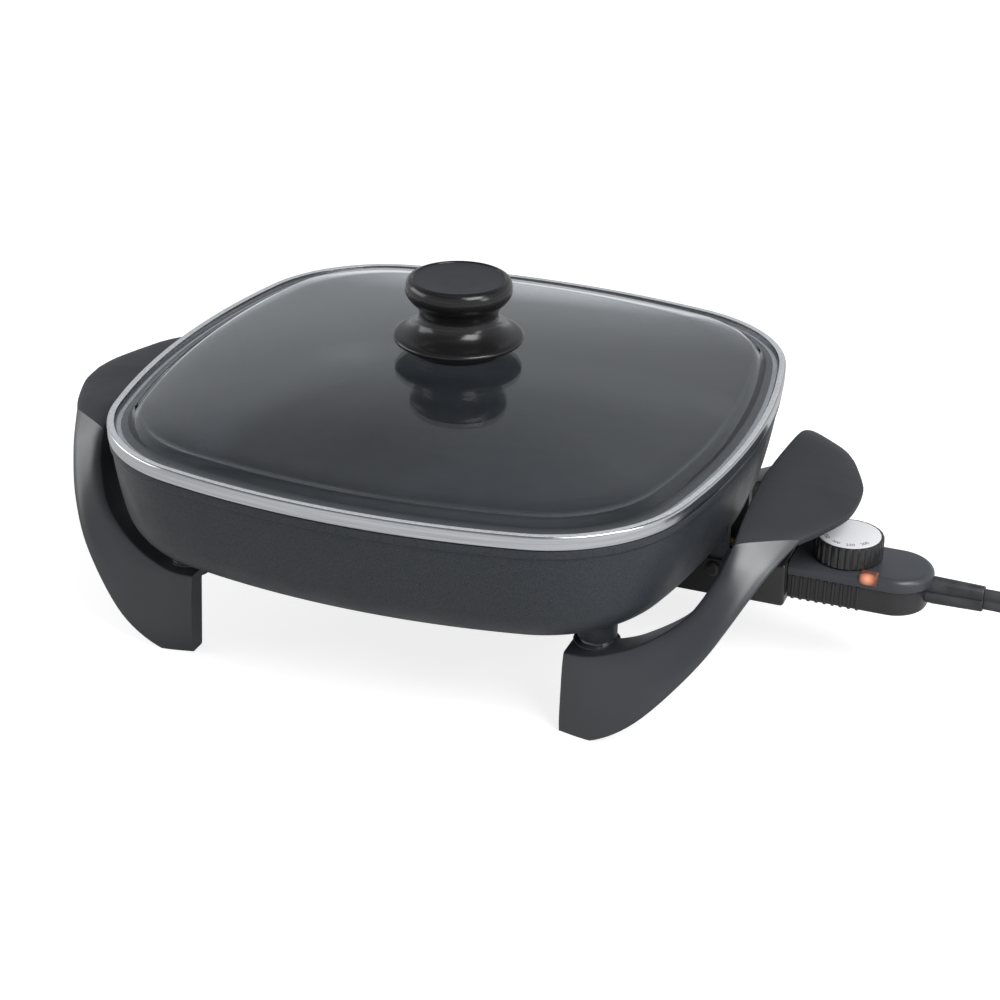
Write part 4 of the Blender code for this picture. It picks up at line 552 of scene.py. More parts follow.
def moulded(name, colour, roughness, specular, depth, spread=0.02):
    """Moulded phenolic, or a coat of paint: a fine skin, faint flow marks, uneven gloss."""
    material = surface(name, colour, roughness, Specular_IOR_Level=specular)
    flow = grain(material, scale=38.0, stretch=(1.0, 1.0, 1.7), detail=4.0)
    dark, pale = lighter(colour, -0.09), lighter(colour, 0.1)
    vary_colour(material, flow, dark, pale, start=0.2, end=0.8)
    vary_roughness(material, grain(material, scale=120.0), roughness - spread, roughness + spread)
    emboss(material, grain(material, scale=1500.0, detail=2.0), depth)
    return material


def coated_cast(name, colour, roughness):
    """Sprayed non-stick coating on cast aluminium: a fine stipple with pale and dark flecks."""
    material = surface(name, colour, roughness, metallic=0.12, Specular_IOR_Level=0.32)
    flecks = grain(material, scale=1900.0, detail=2.0)
    dark, pale = lighter(colour, -0.35), lighter(colour, 0.45)
    vary_colour(material, flecks, dark, pale, start=0.3, end=0.7)
    patches = grain(material, scale=60.0, detail=5.0)
    vary_roughness(material, patches, roughness - 0.05, roughness + 0.07)
    emboss(material, grain(material, scale=900.0, detail=4.0), depth=0.00002)
    emboss(material, grain(material, scale=90.0), depth=0.00002)
    return material


def brushed(name, colour, roughness, stretch, depth=0.000006, metallic=1.0):
    """Brushed metal: fine streaks that run along the stretched axes."""
    material = surface(name, colour, roughness, metallic)
    streaks = grain(material, scale=900.0, stretch=stretch, detail=5.0)
    vary_colour(material, streaks, lighter(colour, -0.14), lighter(colour, 0.12))
    vary_roughness(material, streaks, roughness * 0.75, roughness * 1.3)
    emboss(material, streaks, depth)
    return material


def plated(name, colour, roughness):
    """Zinc-plated steel: a little cloudy, with small pits."""
    material = surface(name, colour, roughness, metallic=1.0)
    cloud = grain(material, scale=260.0, detail=5.0)
    vary_colour(material, cloud, lighter(colour, -0.2), lighter(colour, 0.1))
    vary_roughness(material, cloud, roughness * 0.8, roughness * 1.35)
    emboss(material, grain(material, scale=1400.0), depth=0.000012)
    return material


def clear_glass(name, colour):
    """Tempered glass: clear, with a very slight wave in its skin."""
    material = surface(
        name, colour, roughness=0.0, Transmission_Weight=1.0, IOR=1.46, Specular_IOR_Level=0.5
    )
    vary_roughness(material, grain(material, scale=26.0, detail=4.0), 0.004, 0.02)
    emboss(material, grain(material, scale=14.0, detail=1.0), depth=0.00004)
    return material


def amber_lens(name, colour):
    """Amber plastic over a lit lamp: prisms inside, and a bright core that fades outwards."""
    material = surface(
        name,
        colour,
        roughness=0.16,
        Transmission_Weight=0.35,
        IOR=1.49,
        Emission_Color=(*LENS_GLOW_COLOUR, 1.0),
    )
    near, far = lens_box()
    middle = ((near.x + far.x) / 2 - MIDDLE_X, near.y, far.z - LENS_EDGE)
    core = material.node_tree.nodes.new("ShaderNodeTexGradient")
    core.gradient_type = "SPHERICAL"
    links = material.node_tree.links
    links.new(placed(material, middle, (LENS_GLOW_REACH,) * 3), core.inputs["Vector"])
    glow = graded(material, core.outputs["Fac"], low=0.02, high=0.85, start=0.2, end=0.85)
    links.new(glow, shader_of(material).inputs["Emission Strength"])
    emboss(material, grain(material, scale=1300.0, stretch=(1.0, 6.0, 1.0)), depth=0.00006)
    return material


def ceramic(name, colour):
    """Unglazed ceramic: chalky, with fine grains."""
    material = surface(name, colour, roughness=0.7)
    fine = grain(material, scale=1300.0, detail=4.0)
    vary_colour(material, fine, lighter(colour, -0.16), lighter(colour, 0.06))
    emboss(material, fine, depth=0.00003)
    return material


def dial_metal(name, colour):
    """The dial's printed face: satin silver with rings turned into it."""
    material = surface(name, colour, roughness=0.42)
    rings = material.node_tree.nodes.new("ShaderNodeTexWave")
    rings.wave_type = "RINGS"
    rings.rings_direction = "Z"
    rings.inputs["Scale"].default_value = 900.0
    rings.inputs["Distortion"].default_value = 1.5
    rings.inputs["Detail"].default_value = 2.0
    middle = (DIAL_X - MIDDLE_X, 0.0, DIAL_TOP)
    material.node_tree.links.new(placed(material, middle), rings.inputs["Vector"])
    turned_rings = rings.outputs["Fac"]
    dark, pale = lighter(colour, -0.05), lighter(colour, 0.04)
    vary_colour(material, turned_rings, dark, pale, start=0.0, end=1.0)
    emboss(material, turned_rings, depth=0.000006)
    return material


def lead_skin(name, colour, roughness):
    """The lead's soft PVC: dull, with a fine drawn skin and darker scuffs."""
    material = surface(name, colour, roughness, Specular_IOR_Level=0.4)
    scuffs = grain(material, scale=90.0, detail=5.0)
    vary_colour(material, scuffs, lighter(colour, -0.25), lighter(colour, 0.5))
    vary_roughness(material, scuffs, roughness - 0.08, roughness + 0.12)
    emboss(material, grain(material, scale=1100.0), depth=0.00002)
    return material


def printed_ink(name, colour):
    """Dark ink with a slightly ragged skin."""
    material = surface(name, colour, roughness=0.5)
    fleck = grain(material, scale=2500.0)
    vary_colour(material, fleck, lighter(colour, -0.3), lighter(colour, 0.5))
    emboss(material, fleck, depth=0.000004)
    return material


def make_finishes(colours):
    """Every finish on the skillet, by the CAD record's slot or by its own name."""
    level_streaks = (60.0, 60.0, 1.0)
    upright_streaks = (1.0, 1.0, 60.0)
    makers = {
        "nonstick_cast": (coated_cast, colours.coating, 0.40),
        "phenolic_matte": (moulded, colours.grip, 0.56, 0.42, 0.000022),
        "phenolic_satin": (moulded, colours.leg, 0.32, 0.8, 0.000008),
        "phenolic_gloss": (moulded, colours.gloss, 0.2, 0.5, 0.000004, 0.03),
        "knob_gloss": (moulded, colours.knob, 0.2, 0.5, 0.000003, 0.03),
        "cover_satin": (moulded, colours.cover, 0.32, 0.5, 0.000008),
        "black_paint": (moulded, colours.paint, 0.4, 0.4, 0.00001),
        "tempered_glass": (clear_glass, colours.glass),
        "band_steel": (brushed, colours.bright_metal, 0.16, level_streaks),
        # The lip: a satin copy of the band's steel, only partly metal, so its pale colour renders
        # as a bright line along the lip: a painted highlight on a satin lip
        "band_lip": (brushed, colours.bright_metal, 0.5, upright_streaks, 0.0, 0.3),
        "plated_steel": (plated, colours.plating, 0.32),
        "sheath_steel": (plated, colours.sheath, 0.46),
        "contact_brass": (plated, colours.brass, 0.28),
        "ceramic_white": (ceramic, colours.ceramic),
        "dial_silver": (dial_metal, colours.dial_face),
        "lamp_amber": (amber_lens, colours.lens),
        "lamp_glass": (amber_lens, colours.lamp),
        "cord_rubber": (lead_skin, colours.lead, 0.48),
        "dial_ink": (printed_ink, colours.ink),
    }
    return {name: make(name, *values) for name, (make, *values) in makers.items()}


# Mesh tools


def eased(corners, steps=5):
    """Points round a run of corners, each given as a point and the length cut off beside it.

    The run is closed, and a corner cut by nothing stays as it is.
    """
    points = []
    count = len(corners)
    for i, (corner, cut) in enumerate(corners):
        corner = Vector(corner)
        if not cut:
            points.append(corner)
            continue
        before = Vector(corners[i - 1][0])
        after = Vector(corners[(i + 1) % count][0])
        start = corner + (before - corner).normalized() * cut
        end = corner + (after - corner).normalized() * cut
        for step in range(steps + 1):
            t = step / steps
            points.append(start * (1 - t) ** 2 + corner * (2 * t * (1 - t)) + end * t**2)
    return points


def arc(centre, radius, start, end, steps):
    """Points of an arc about a centre, from a start angle to an end angle."""
    points = []
    for step in range(steps + 1):
        angle = start + (end - start) * step / steps
        points.append((centre[0] + radius * math.cos(angle), centre[1] + radius * math.sin(angle)))
    return points


def ring_edges(bm, ring):
    """The edges round a ring of vertices."""
    return [bm.edges.get((a, b)) for a, b in zip(ring, ring[1:] + ring[:1])]


def next_ring(bm, ring):
    """Extrude a ring of vertices by its edges, and give the new ring in the same order."""
    made = bmesh.ops.extrude_edge_only(bm, edges=ring_edges(bm, ring))
    fresh = {item for item in made["geom"] if isinstance(item, bmesh.types.BMVert)}
    return [
        next(e.other_vert(v) for e in v.link_edges if e.other_vert(v) in fresh) for v in ring
    ]


def put(ring, points):
    """Move a ring's vertices to points."""
    for vert, point in zip(ring, points):
        vert.co = point


def ring_skin(rings, caps=True, bm=None):
    """A skin through rings of like count: a circle is put on the first and extruded on."""
    bm = bm or bmesh.new()
    made = bmesh.ops.create_circle(bm, segments=len(rings[0]), radius=1.0)
    ring = made["verts"]
    put(ring, rings[0])
    first = ring
    for points in rings[1:]:
        ring = next_ring(bm, ring)
        put(ring, points)
    if caps:
        for loop in (first, ring):
            bmesh.ops.contextual_create(bm, geom=ring_edges(bm, loop))
    return bm


def looped_skin(rings):
    """A skin through rings of like count whose last ring meets its first."""
    bm = ring_skin([*rings, rings[0]], caps=False)
    bmesh.ops.remove_doubles(bm, verts=bm.verts, dist=MERGE)
    return bm


def turned(profile, place, steps, turn=None, bm=None, ring=False):
    """A turned piece: (radius, height) points spun about +Z, then turned and placed."""
    spun = bmesh.new()
    points = [spun.verts.new((radius, 0.0, height)) for radius, height in profile]
    following = points[1:] + points[:1] if ring else points[1:]
    edges = [spun.edges.new(pair) for pair in zip(points, following)]
    bmesh.ops.spin(
        spun,
        geom=points + edges,
        axis=(0.0, 0.0, 1.0),
        cent=(0.0, 0.0, 0.0),
        angle=math.tau,
        steps=steps,
        use_merge=True,
    )
    bmesh.ops.remove_doubles(spun, verts=spun.verts, dist=MERGE)
    matrix = Matrix.Translation(Vector(place))
    if turn is not None:
        matrix = matrix @ turn.to_4x4()
    bmesh.ops.transform(spun, matrix=matrix, verts=spun.verts)
    return spun if bm is None else joined(bm, spun)


def joined(bm, other):
    """Add another drawing to this one."""
    mesh = bpy.data.meshes.new("joining")
    other.to_mesh(mesh)
    other.free()
    bm.from_mesh(mesh)
    bpy.data.meshes.remove(mesh)
    return bm


def rounded_box(low, high, edge, segments):
    """A box between two corners, its edges rounded by an edge radius."""
    box = bmesh.new()
    bmesh.ops.create_cube(box, size=1.0)
    bmesh.ops.scale(box, vec=high - low, verts=box.verts)
    bmesh.ops.translate(box, vec=(low + high) / 2, verts=box.verts)
    bmesh.ops.bevel(
        box,
        geom=box.edges[:],
        offset=edge,
        segments=segments,
        profile=0.5,
        affect="EDGES",
        material=-1,
    )
    return box


def piece(name, bm, body, finishes, replaced=(), sharp=35.0):
    """Make a drawing a piece of the skillet: merged, facing outwards, in place and riding."""
    bmesh.ops.remove_doubles(bm, verts=bm.verts, dist=MERGE)
    bmesh.ops.recalc_face_normals(bm, faces=bm.faces)
    bmesh.ops.translate(bm, vec=(-MIDDLE_X, 0.0, 0.0), verts=bm.verts)
    mesh = bpy.data.meshes.new(name)
    bm.edges.index_update()
    creases = [e.index for e in bm.edges if not e.smooth]
    bm.to_mesh(mesh)
    bm.free()
    mesh.shade_smooth()
    mesh.set_sharp_from_angle(angle=math.radians(sharp))
    edges = mesh.attributes.get("sharp_edge")
    if creases and edges is None:
        edges = mesh.attributes.new("sharp_edge", "BOOLEAN", "EDGE")
    for index in creases:
        edges.data[index].value = True
    for finish in finishes:
        mesh.materials.append(FINISHES[finish])
    obj = bpy.data.objects.new(name, mesh)
    bpy.context.scene.collection.objects.link(obj)
    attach(obj, body)
    if replaced:
        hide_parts(*replaced)
    return obj


def smooth_rows(rows, steps, crease=0):
    """Rows of numbers filled in by a spline through them, which breaks at the crease row."""
    filled = []
    for i in range(len(rows) - 1):
        a, b = Vector(rows[i]), Vector(rows[i + 1])
        before = a if i in (0, crease) else Vector(rows[i - 1])
        after = b if i + 1 in (crease, len(rows) - 1) else Vector(rows[i + 2])
        slope_a, slope_b = (b - before) / 2, (after - a) / 2
        for step in range(steps):
            t = step / steps
            filled.append(
                a * (2 * t**3 - 3 * t**2 + 1)
                + slope_a * (t**3 - 2 * t**2 + t)
                + b * (3 * t**2 - 2 * t**3)
                + slope_b * (t**3 - t**2)
            )
    filled.append(Vector(rows[-1]))
    return filled


# Shapes of the pan and lid


def outline(inset, height):
    """The bowed square of pan and lid, drawn in by an inset, at one height."""
    side_centre = LID_HALF - SIDE_BOW_RADIUS
    reach = SIDE_BOW_RADIUS - CORNER_RADIUS
    corner = (side_centre + math.sqrt(2 * reach**2 - side_centre**2)) / 2
    swing = math.atan2(corner, corner - side_centre)
    bow = SIDE_BOW_RADIUS - inset
    radius = CORNER_RADIUS - inset
    quarter = arc((side_centre, 0.0), bow, -swing, swing, SIDE_STEPS)[:-1]
    quarter += arc((corner, corner), radius, swing, math.pi / 2 - swing, CORNER_STEPS)[:-1]
    points = []
    for side in range(4):
        turn = Matrix.Rotation(side * math.pi / 2, 2)
        points += [(*(turn @ Vector(point)), height) for point in quarter]
    return points


def wall_inset(share):
    """The outer wall's inset and height, from the rim's lip at 0 to the fillet at 1."""
    top = PAN_RIM - RIM_LIP_HEIGHT - RIM_LIP_STEP
    low = PAN_UNDER + PAN_FILLET * (1 - math.sin(PAN_LEAN_LOW))
    drop = (top - low) * share
    lean = math.tan(PAN_LEAN_TOP)
    extra = (math.tan(PAN_LEAN_LOW) - lean) * share / 2
    return RIM_INSET + RIM_LIP_STEP + drop * (lean + extra), top - drop


def fillet_point(radius, share):
    """A point of the round between the wall and the bottom, from the wall at 0 to flat at 1."""
    inset, height = wall_inset(1.0)
    centre_inset = inset + PAN_FILLET * math.cos(PAN_LEAN_LOW)
    centre_height = height + PAN_FILLET * math.sin(PAN_LEAN_LOW)
    angle = PAN_LEAN_LOW + (math.pi / 2 - PAN_LEAN_LOW) * share
    return centre_inset - radius * math.cos(angle), centre_height - radius * math.sin(angle)


def pan_profile(rim_round):
    """(inset, height) from the bottom's edge outside, over the rim, to the floor's edge inside."""
    wall_shares = [step / WALL_STEPS for step in range(WALL_STEPS, -1, -1)]
    fillet_shares = [step / FILLET_STEPS for step in range(FILLET_STEPS, 0, -1)]
    inner_radius = PAN_FILLET - PAN_WALL_LOW
    outer = [fillet_point(PAN_FILLET, share) for share in fillet_shares]
    outer += [wall_inset(share) for share in wall_shares]
    lip_low = PAN_RIM - RIM_LIP_HEIGHT
    bead = RIM_INSET + RIM_LEDGE_WIDTH
    inner = []
    for share in reversed(wall_shares):
        inset, height = wall_inset(share)
        wall = PAN_WALL_TOP + (PAN_WALL_LOW - PAN_WALL_TOP) * share
        inner.append((inset + wall, height))
    floor = PAN_UNDER + PAN_FLOOR
    shift = inner[-1][0] - fillet_point(inner_radius, 0.0)[0]
    for share in reversed(fillet_shares):
        inset, height = fillet_point(inner_radius, share)
        lift = (floor - PAN_UNDER - PAN_WALL_LOW) * share
        inner.append((inset + shift, height + lift))
    bead_round = rim_round * BEAD_ROUND_SHARE
    corners = [
        (outer[-1], 0.0),
        ((RIM_INSET, lip_low), rim_round),
        ((RIM_INSET, PAN_RIM), rim_round),
        ((bead, PAN_RIM), rim_round),
        ((bead, PAN_RIM + RIM_BEAD_HEIGHT), bead_round),
        ((bead + RIM_BEAD_WIDTH, PAN_RIM + RIM_BEAD_HEIGHT), bead_round),
        (inner[0], 0.0),
    ]
    rim = [tuple(point) for point in eased(corners, steps=4)[1:-1]]
    return outer, rim, inner


def surface_height(x):
    """The height of the pan's outer skin on its centre line, at a distance out from the middle."""
    inset = LID_HALF - x
    shares = [step / SAMPLE_STEPS for step in range(SAMPLE_STEPS, -1, -1)]
    samples = [fillet_point(PAN_FILLET, share) for share in shares]
    samples += [wall_inset(share) for share in shares[1:]]
    for (inset_a, height_a), (inset_b, height_b) in zip(samples, samples[1:]):
        if inset_b <= inset <= inset_a:
            share = (inset_a - inset) / (inset_a - inset_b)
            return height_a + (height_b - height_a) * share
    return PAN_UNDER if inset > samples[0][0] else samples[-1][1]


def element_path():
    """The heating element's centre line: in from one terminal, round the loop and out again."""
    turn_y = ELEMENT_HALF_SPACING + ELEMENT_TURN_RADIUS
    reach = ELEMENT_LOOP_RADIUS + ELEMENT_TURN_RADIUS
    turn_x = math.sqrt(reach**2 - turn_y**2)
    meet = math.atan2(turn_y, turn_x)
    turn = arc((turn_x, turn_y), ELEMENT_TURN_RADIUS, -math.pi / 2, meet - math.pi, TURN_STEPS)
    loop = arc((0.0, 0.0), ELEMENT_LOOP_RADIUS, meet, math.pi, LOOP_STEPS // 2)
    half = [(ELEMENT_END, ELEMENT_HALF_SPACING), *turn, *loop[1:]]
    return half + [(x, -y) for x, y in reversed(half[:-1])]


def level_sweep(path, section):
    """Rings along a level path, from a section's points across the path and up."""
    rings = []
    for i, (x, y) in enumerate(path):
        before = Vector(path[max(i - 1, 0)])
        after = Vector(path[min(i + 1, len(path) - 1)])
        along = (after - before).normalized()
        rings.append([(x - along.y * out, y + along.x * out, up) for out, up in section])
    return rings


def channel_section():
    """The channel that holds the element: two walls and a top sunk in the pan."""
    inner = ELEMENT_RADIUS + CLEARANCE
    outer = inner + CHANNEL_WALL
    sunk = PAN_UNDER + PAN_FLOOR / 2
    corners = (
        ((outer, CHANNEL_BOTTOM), LOOSE_FIT),
        ((outer, sunk), 0.0),
        ((-outer, sunk), 0.0),
        ((-outer, CHANNEL_BOTTOM), LOOSE_FIT),
        ((-inner, CHANNEL_BOTTOM), LOOSE_FIT),
        ((-inner, PAN_UNDER), LOOSE_FIT),
        ((inner, PAN_UNDER), LOOSE_FIT),
        ((inner, CHANNEL_BOTTOM), LOOSE_FIT),
    )
    return eased(corners, steps=2)


def turn_to(way):
    """The turn that takes +Z to a way."""
    return Vector(way).to_track_quat("Z", "Y").to_matrix()


# Shapes of the handles


def handle_sections(edge_round):
    """Cross-sections of the right-hand moulding, from its front foot to the middle of the grip."""
    upper_rows = [
        (
            FOOT_X + (GRIP_INNER - FOOT_X) * out,
            -FOOT_FRONT * forward,
            LEDGE_HEIGHT + (GRIP_HEIGHT - LEDGE_HEIGHT) * up,
        )
        for out, forward, up in UPPER_EDGE_SHARES
    ]
    lower_rows = [
        (FOOT_X + (GRIP_OUTER - FOOT_X) * out, -FOOT_FRONT * forward, GRIP_EDGE_HEIGHT * up)
        for out, forward, up in LOWER_EDGE_SHARES
    ]
    blend_rows = list(zip(WALL_SHARES, LEDGE_SHARES))
    given = (upper_rows, lower_rows, blend_rows)
    upper, lower, blend = (smooth_rows(rows, HANDLE_STEPS, CREASE_ROW) for rows in given)
    round_top = min(edge_round, SECTION_ROUND_LIMIT)
    round_inside = round_top * INNER_ROUND_SHARE
    for edge in lower:
        edge.z = max(edge.z, 0.0)
    last = len(upper) - 1
    sections = []
    for i, (top, edge) in enumerate(zip(upper, lower)):
        near, far = max(i - 1, 0), min(i + 1, last)
        along = (upper[far] + lower[far]) - (upper[near] + lower[near])
        if i == 0:
            along = Vector((1.0, 0.0, 0.0))
        if i == last:
            along = Vector((0.0, 1.0, 0.0))
        rise = (top - edge).normalized()
        outward = along.cross(rise).normalized()
        share, ledge_share = blend[i]
        level = Vector((outward.x, outward.y, outward.z * share)).normalized()
        wall = FOOT_WALL + (GRIP_WALL - FOOT_WALL) * share
        ledge = FOOT_LEDGE_WIDTH + (GRIP_LIP_WIDTH - FOOT_LEDGE_WIDTH) * ledge_share
        under = top - rise * LEDGE_THICKNESS
        foot = edge - level * wall
        foot.z = max(foot.z, 0.0)
        corners = [(top, round_top)]
        for step in range(1, FACE_STEPS):
            t = step / FACE_STEPS
            crown = outward * FACE_CROWN * (1 - (2 * t - 1) ** 4)
            corners.append((top.lerp(edge, t) + crown, 0.0))
        corners += [
            (edge, round_top),
            (foot, round_top),
            (under - level * wall, round_inside),
            (under - level * ledge, round_inside),
            (top - level * ledge, round_inside),
        ]
        sections.append(eased(corners, steps=4))
    for point in sections[-1]:
        point.y = 0.0
    for point in sections[0]:
        point.x = FOOT_X
    return sections


# Shapes of the heat control and its lead


def round_ended(half, centre, side):
    """A plan with a half-round end, from how far each point of its side stands out of it."""
    front = [(x, -half - proud) for x, proud in side]
    end = arc((centre, 0.0), half, -math.pi / 2, math.pi / 2, END_STEPS)
    return front + end + [(x, -y) for x, y in reversed(front)]


def base_outline(inset=0.0):
    """The housing's base in plan with its grip ribs, drawn in by an inset."""
    side = [(HOUSING_START + inset, 0.0)]
    rise = [
        (-GRIP_RIB_FOOT, 0.0),
        (0.0, GRIP_RIB_FOOT),
        (0.0, GRIP_RIB_DEPTH - GRIP_RIB_SOFT),
        (GRIP_RIB_SHOULDER, GRIP_RIB_DEPTH - GRIP_RIB_SHOULDER),
        (GRIP_RIB_SOFT, GRIP_RIB_DEPTH),
    ]
    for rib in range(GRIP_RIB_COUNT):
        x = HOUSING_START + GRIP_RIB_PITCH * (rib + 1 / 2)
        side += [(x + u, proud) for u, proud in rise]
        side += [(x + GRIP_RIB_WIDTH - u, proud) for u, proud in reversed(rise)]
    return round_ended(BASE_HALF_WIDTH - inset, BASE_END - BASE_HALF_WIDTH, side)


def cover_outline(inset=0.0):
    """The housing's cover in plan, drawn in by an inset."""
    pitch = (END_CENTRE - HOUSING_START) / COVER_SIDE_STEPS
    side = [(HOUSING_START + pitch * step, 0.0) for step in range(COVER_SIDE_STEPS)]
    return round_ended(HOUSING_HALF_WIDTH - inset, END_CENTRE, side)


def lens_box():
    """The lamp lens, let into the cover's front top edge beside the dial."""
    x = DIAL_X + LENS_FROM_DIAL
    front = -HOUSING_HALF_WIDTH - LENS_PROUD
    top = HOUSING_TOP + LENS_PROUD
    low = Vector((x - LENS_LENGTH / 2, front, top - LENS_HEIGHT))
    return low, Vector((x + LENS_LENGTH / 2, front + LENS_DEPTH, top))


def twin_section(width, thickness):
    """The lead's outline: two lobes with a shallow groove between them on both flats."""
    radius = thickness / 2
    groove = radius * GROOVE_SHARE
    upper = arc((0.0, width / 2 - radius), radius, -LOBE_DIP, math.pi + LOBE_DIP, LOBE_STEPS)
    lower = [(-u, -v) for u, v in upper]
    return [(groove, 0.0)] + upper + [(-groove, 0.0)] + lower


def lead_sweep(path, width, thickness):
    """A flat lead along a path, with its wide side upright."""
    rings = []
    up = Vector((0.0, 0.0, 1.0))
    section = twin_section(width, thickness)
    for i, point in enumerate(path):
        along = (path[min(i + 1, len(path) - 1)] - path[max(i - 1, 0)]).normalized()
        across = along.cross(up).normalized()
        lift = across.cross(along).normalized()
        rings.append([point + across * u + lift * v for u, v in section])
    return rings


def lead_points():
    """The lead's route from the relief to the coil, smoothed."""
    start = Vector((CORD_START, 0.0, RELIEF_Z))
    fall = RELIEF_Z - CORD_WIDTH / 2 - CLEARANCE
    depth = -LEAD_ROUTE[-1][2]
    rows = [(x, y, z * fall / depth) for x, y, z in LEAD_ROUTE]
    return [start + row for row in smooth_rows(rows, ROUTE_STEPS)]


def coil_points(start):
    """One spiral inwards from the lead's end, and a tighter tail that ends at the plug."""
    turning = start + Vector((CORD_WIDTH, 0.0, 0.0))
    centre = turning + Vector((0.0, COIL_START_RADIUS, 0.0))
    count = round(COIL_POINTS_PER_TURN * COIL_TURNS)
    points = [start, start.lerp(turning, 0.5)]
    for step in range(count + 1):
        angle = math.tau * min(step / COIL_POINTS_PER_TURN, COIL_TURNS)
        radius = COIL_START_RADIUS - COIL_PITCH * angle / math.tau
        way = Vector((math.sin(angle), -math.cos(angle), 0.0))
        points.append(centre + way * radius)
    way = (points[-1] - centre).normalized()
    tail_centre = points[-1] - way * TAIL_RADIUS
    tail_count = round(COIL_POINTS_PER_TURN * TAIL_TURN / math.tau)
    for step in range(1, tail_count + 1):
        turn = Matrix.Rotation(TAIL_TURN * step / tail_count, 3, "Z")
        points.append(tail_centre + turn @ way * TAIL_RADIUS)
    along = (points[-1] - points[-2]).normalized()
    points.append(points[-1] + along * CORD_WIDTH)
    return points


def cord_path():
    """The whole lead's centre line from the relief to the plug."""
    lead = lead_points()
    return lead + coil_points(lead[-1] + Vector((CLEARANCE, 0.0, 0.0)))


# The finishes that the pieces take, filled by the finishes operator
FINISHES = {}


# Values that a user may change


def number(name, default, smallest, largest):
    """A length that a user may change."""
    return bpy.props.FloatProperty(
        name=name,
        description=f"{name} of the dressed skillet",
        default=default,
        min=smallest,
        max=largest,
        subtype="DISTANCE",
        unit="LENGTH",
        precision=5,
    )


def colour(name, default):
    """A colour that a user may change."""
    return bpy.props.FloatVectorProperty(
        name=name,
        description=f"{name} of the dressed skillet, in linear light",
        default=default,
        min=0.0,
        max=1.0,
        size=3,
        subtype="COLOR",
    )


class SkilletSizes(bpy.types.PropertyGroup):
    """Small sizes that only the dressed skillet has."""

    rim_round: number("Rim rounding", 0.0006, 0.0001, 0.001)
    handle_round: number("Handle edge rounding", 0.0011, 0.0002, 0.002)
    band_round: number("Band edge rounding", 0.0003, 0.00005, 0.0004)
    numeral_height: number("Dial numeral height", 0.0029, 0.001, 0.004)
    key_distance: number("Key lamp distance", 1.5, 0.5, 4.0)


class SkilletColours(bpy.types.PropertyGroup):
    """The colours of the skillet's finishes."""

    coating: colour("Non-stick coating", (0.038, 0.043, 0.050))
    grip: colour("Matte grip", (0.031, 0.033, 0.039))
    leg: colour("Satin leg", (0.030, 0.033, 0.040))
    gloss: colour("Glossy moulding", (0.026, 0.026, 0.028))
    knob: colour("Knob", (0.012, 0.0112, 0.012))
    cover: colour("Control cover", (0.048, 0.052, 0.061))
    paint: colour("Guard's black paint", (0.012, 0.012, 0.013))
    glass: colour("Glass", (0.965, 0.97, 0.98))
    bright_metal: colour("Lid band", (0.60, 0.615, 0.64))
    plating: colour("Plating", (0.55, 0.56, 0.58))
    sheath: colour("Element sheath", (0.16, 0.15, 0.145))
    brass: colour("Contacts", (0.72, 0.52, 0.22))
    ceramic: colour("Ceramic", (0.78, 0.76, 0.71))
    dial_face: colour("Dial face", (0.88, 0.89, 0.92))
    lens: colour("Lamp lens", (0.26, 0.09, 0.055))
    lamp: colour("Neon lamp", (0.85, 0.5, 0.35))
    lead: colour("Lead", (0.038, 0.039, 0.043))
    ink: colour("Dial ink", (0.03, 0.03, 0.035))


# Operators, one for each group of pieces and one for the stage


class SKILLET_OT_finishes(bpy.types.Operator):
    """Make the skillet's finishes and give them to the CAD pieces that stay"""

    bl_idname = "skillet.finishes"
    bl_label = "Finishes"

    def execute(self, context):
        FINISHES.update(make_finishes(context.scene.skillet_colours))
        for obj in frame["nodes"].values():
            finish = FINISHES.get(obj.data.materials[0].name, FINISHES["phenolic_satin"])
            if "guard" in obj.name:
                finish = FINISHES["black_paint"]
            for place in obj.material_slots:
                place.material = finish
        return {"FINISHED"}


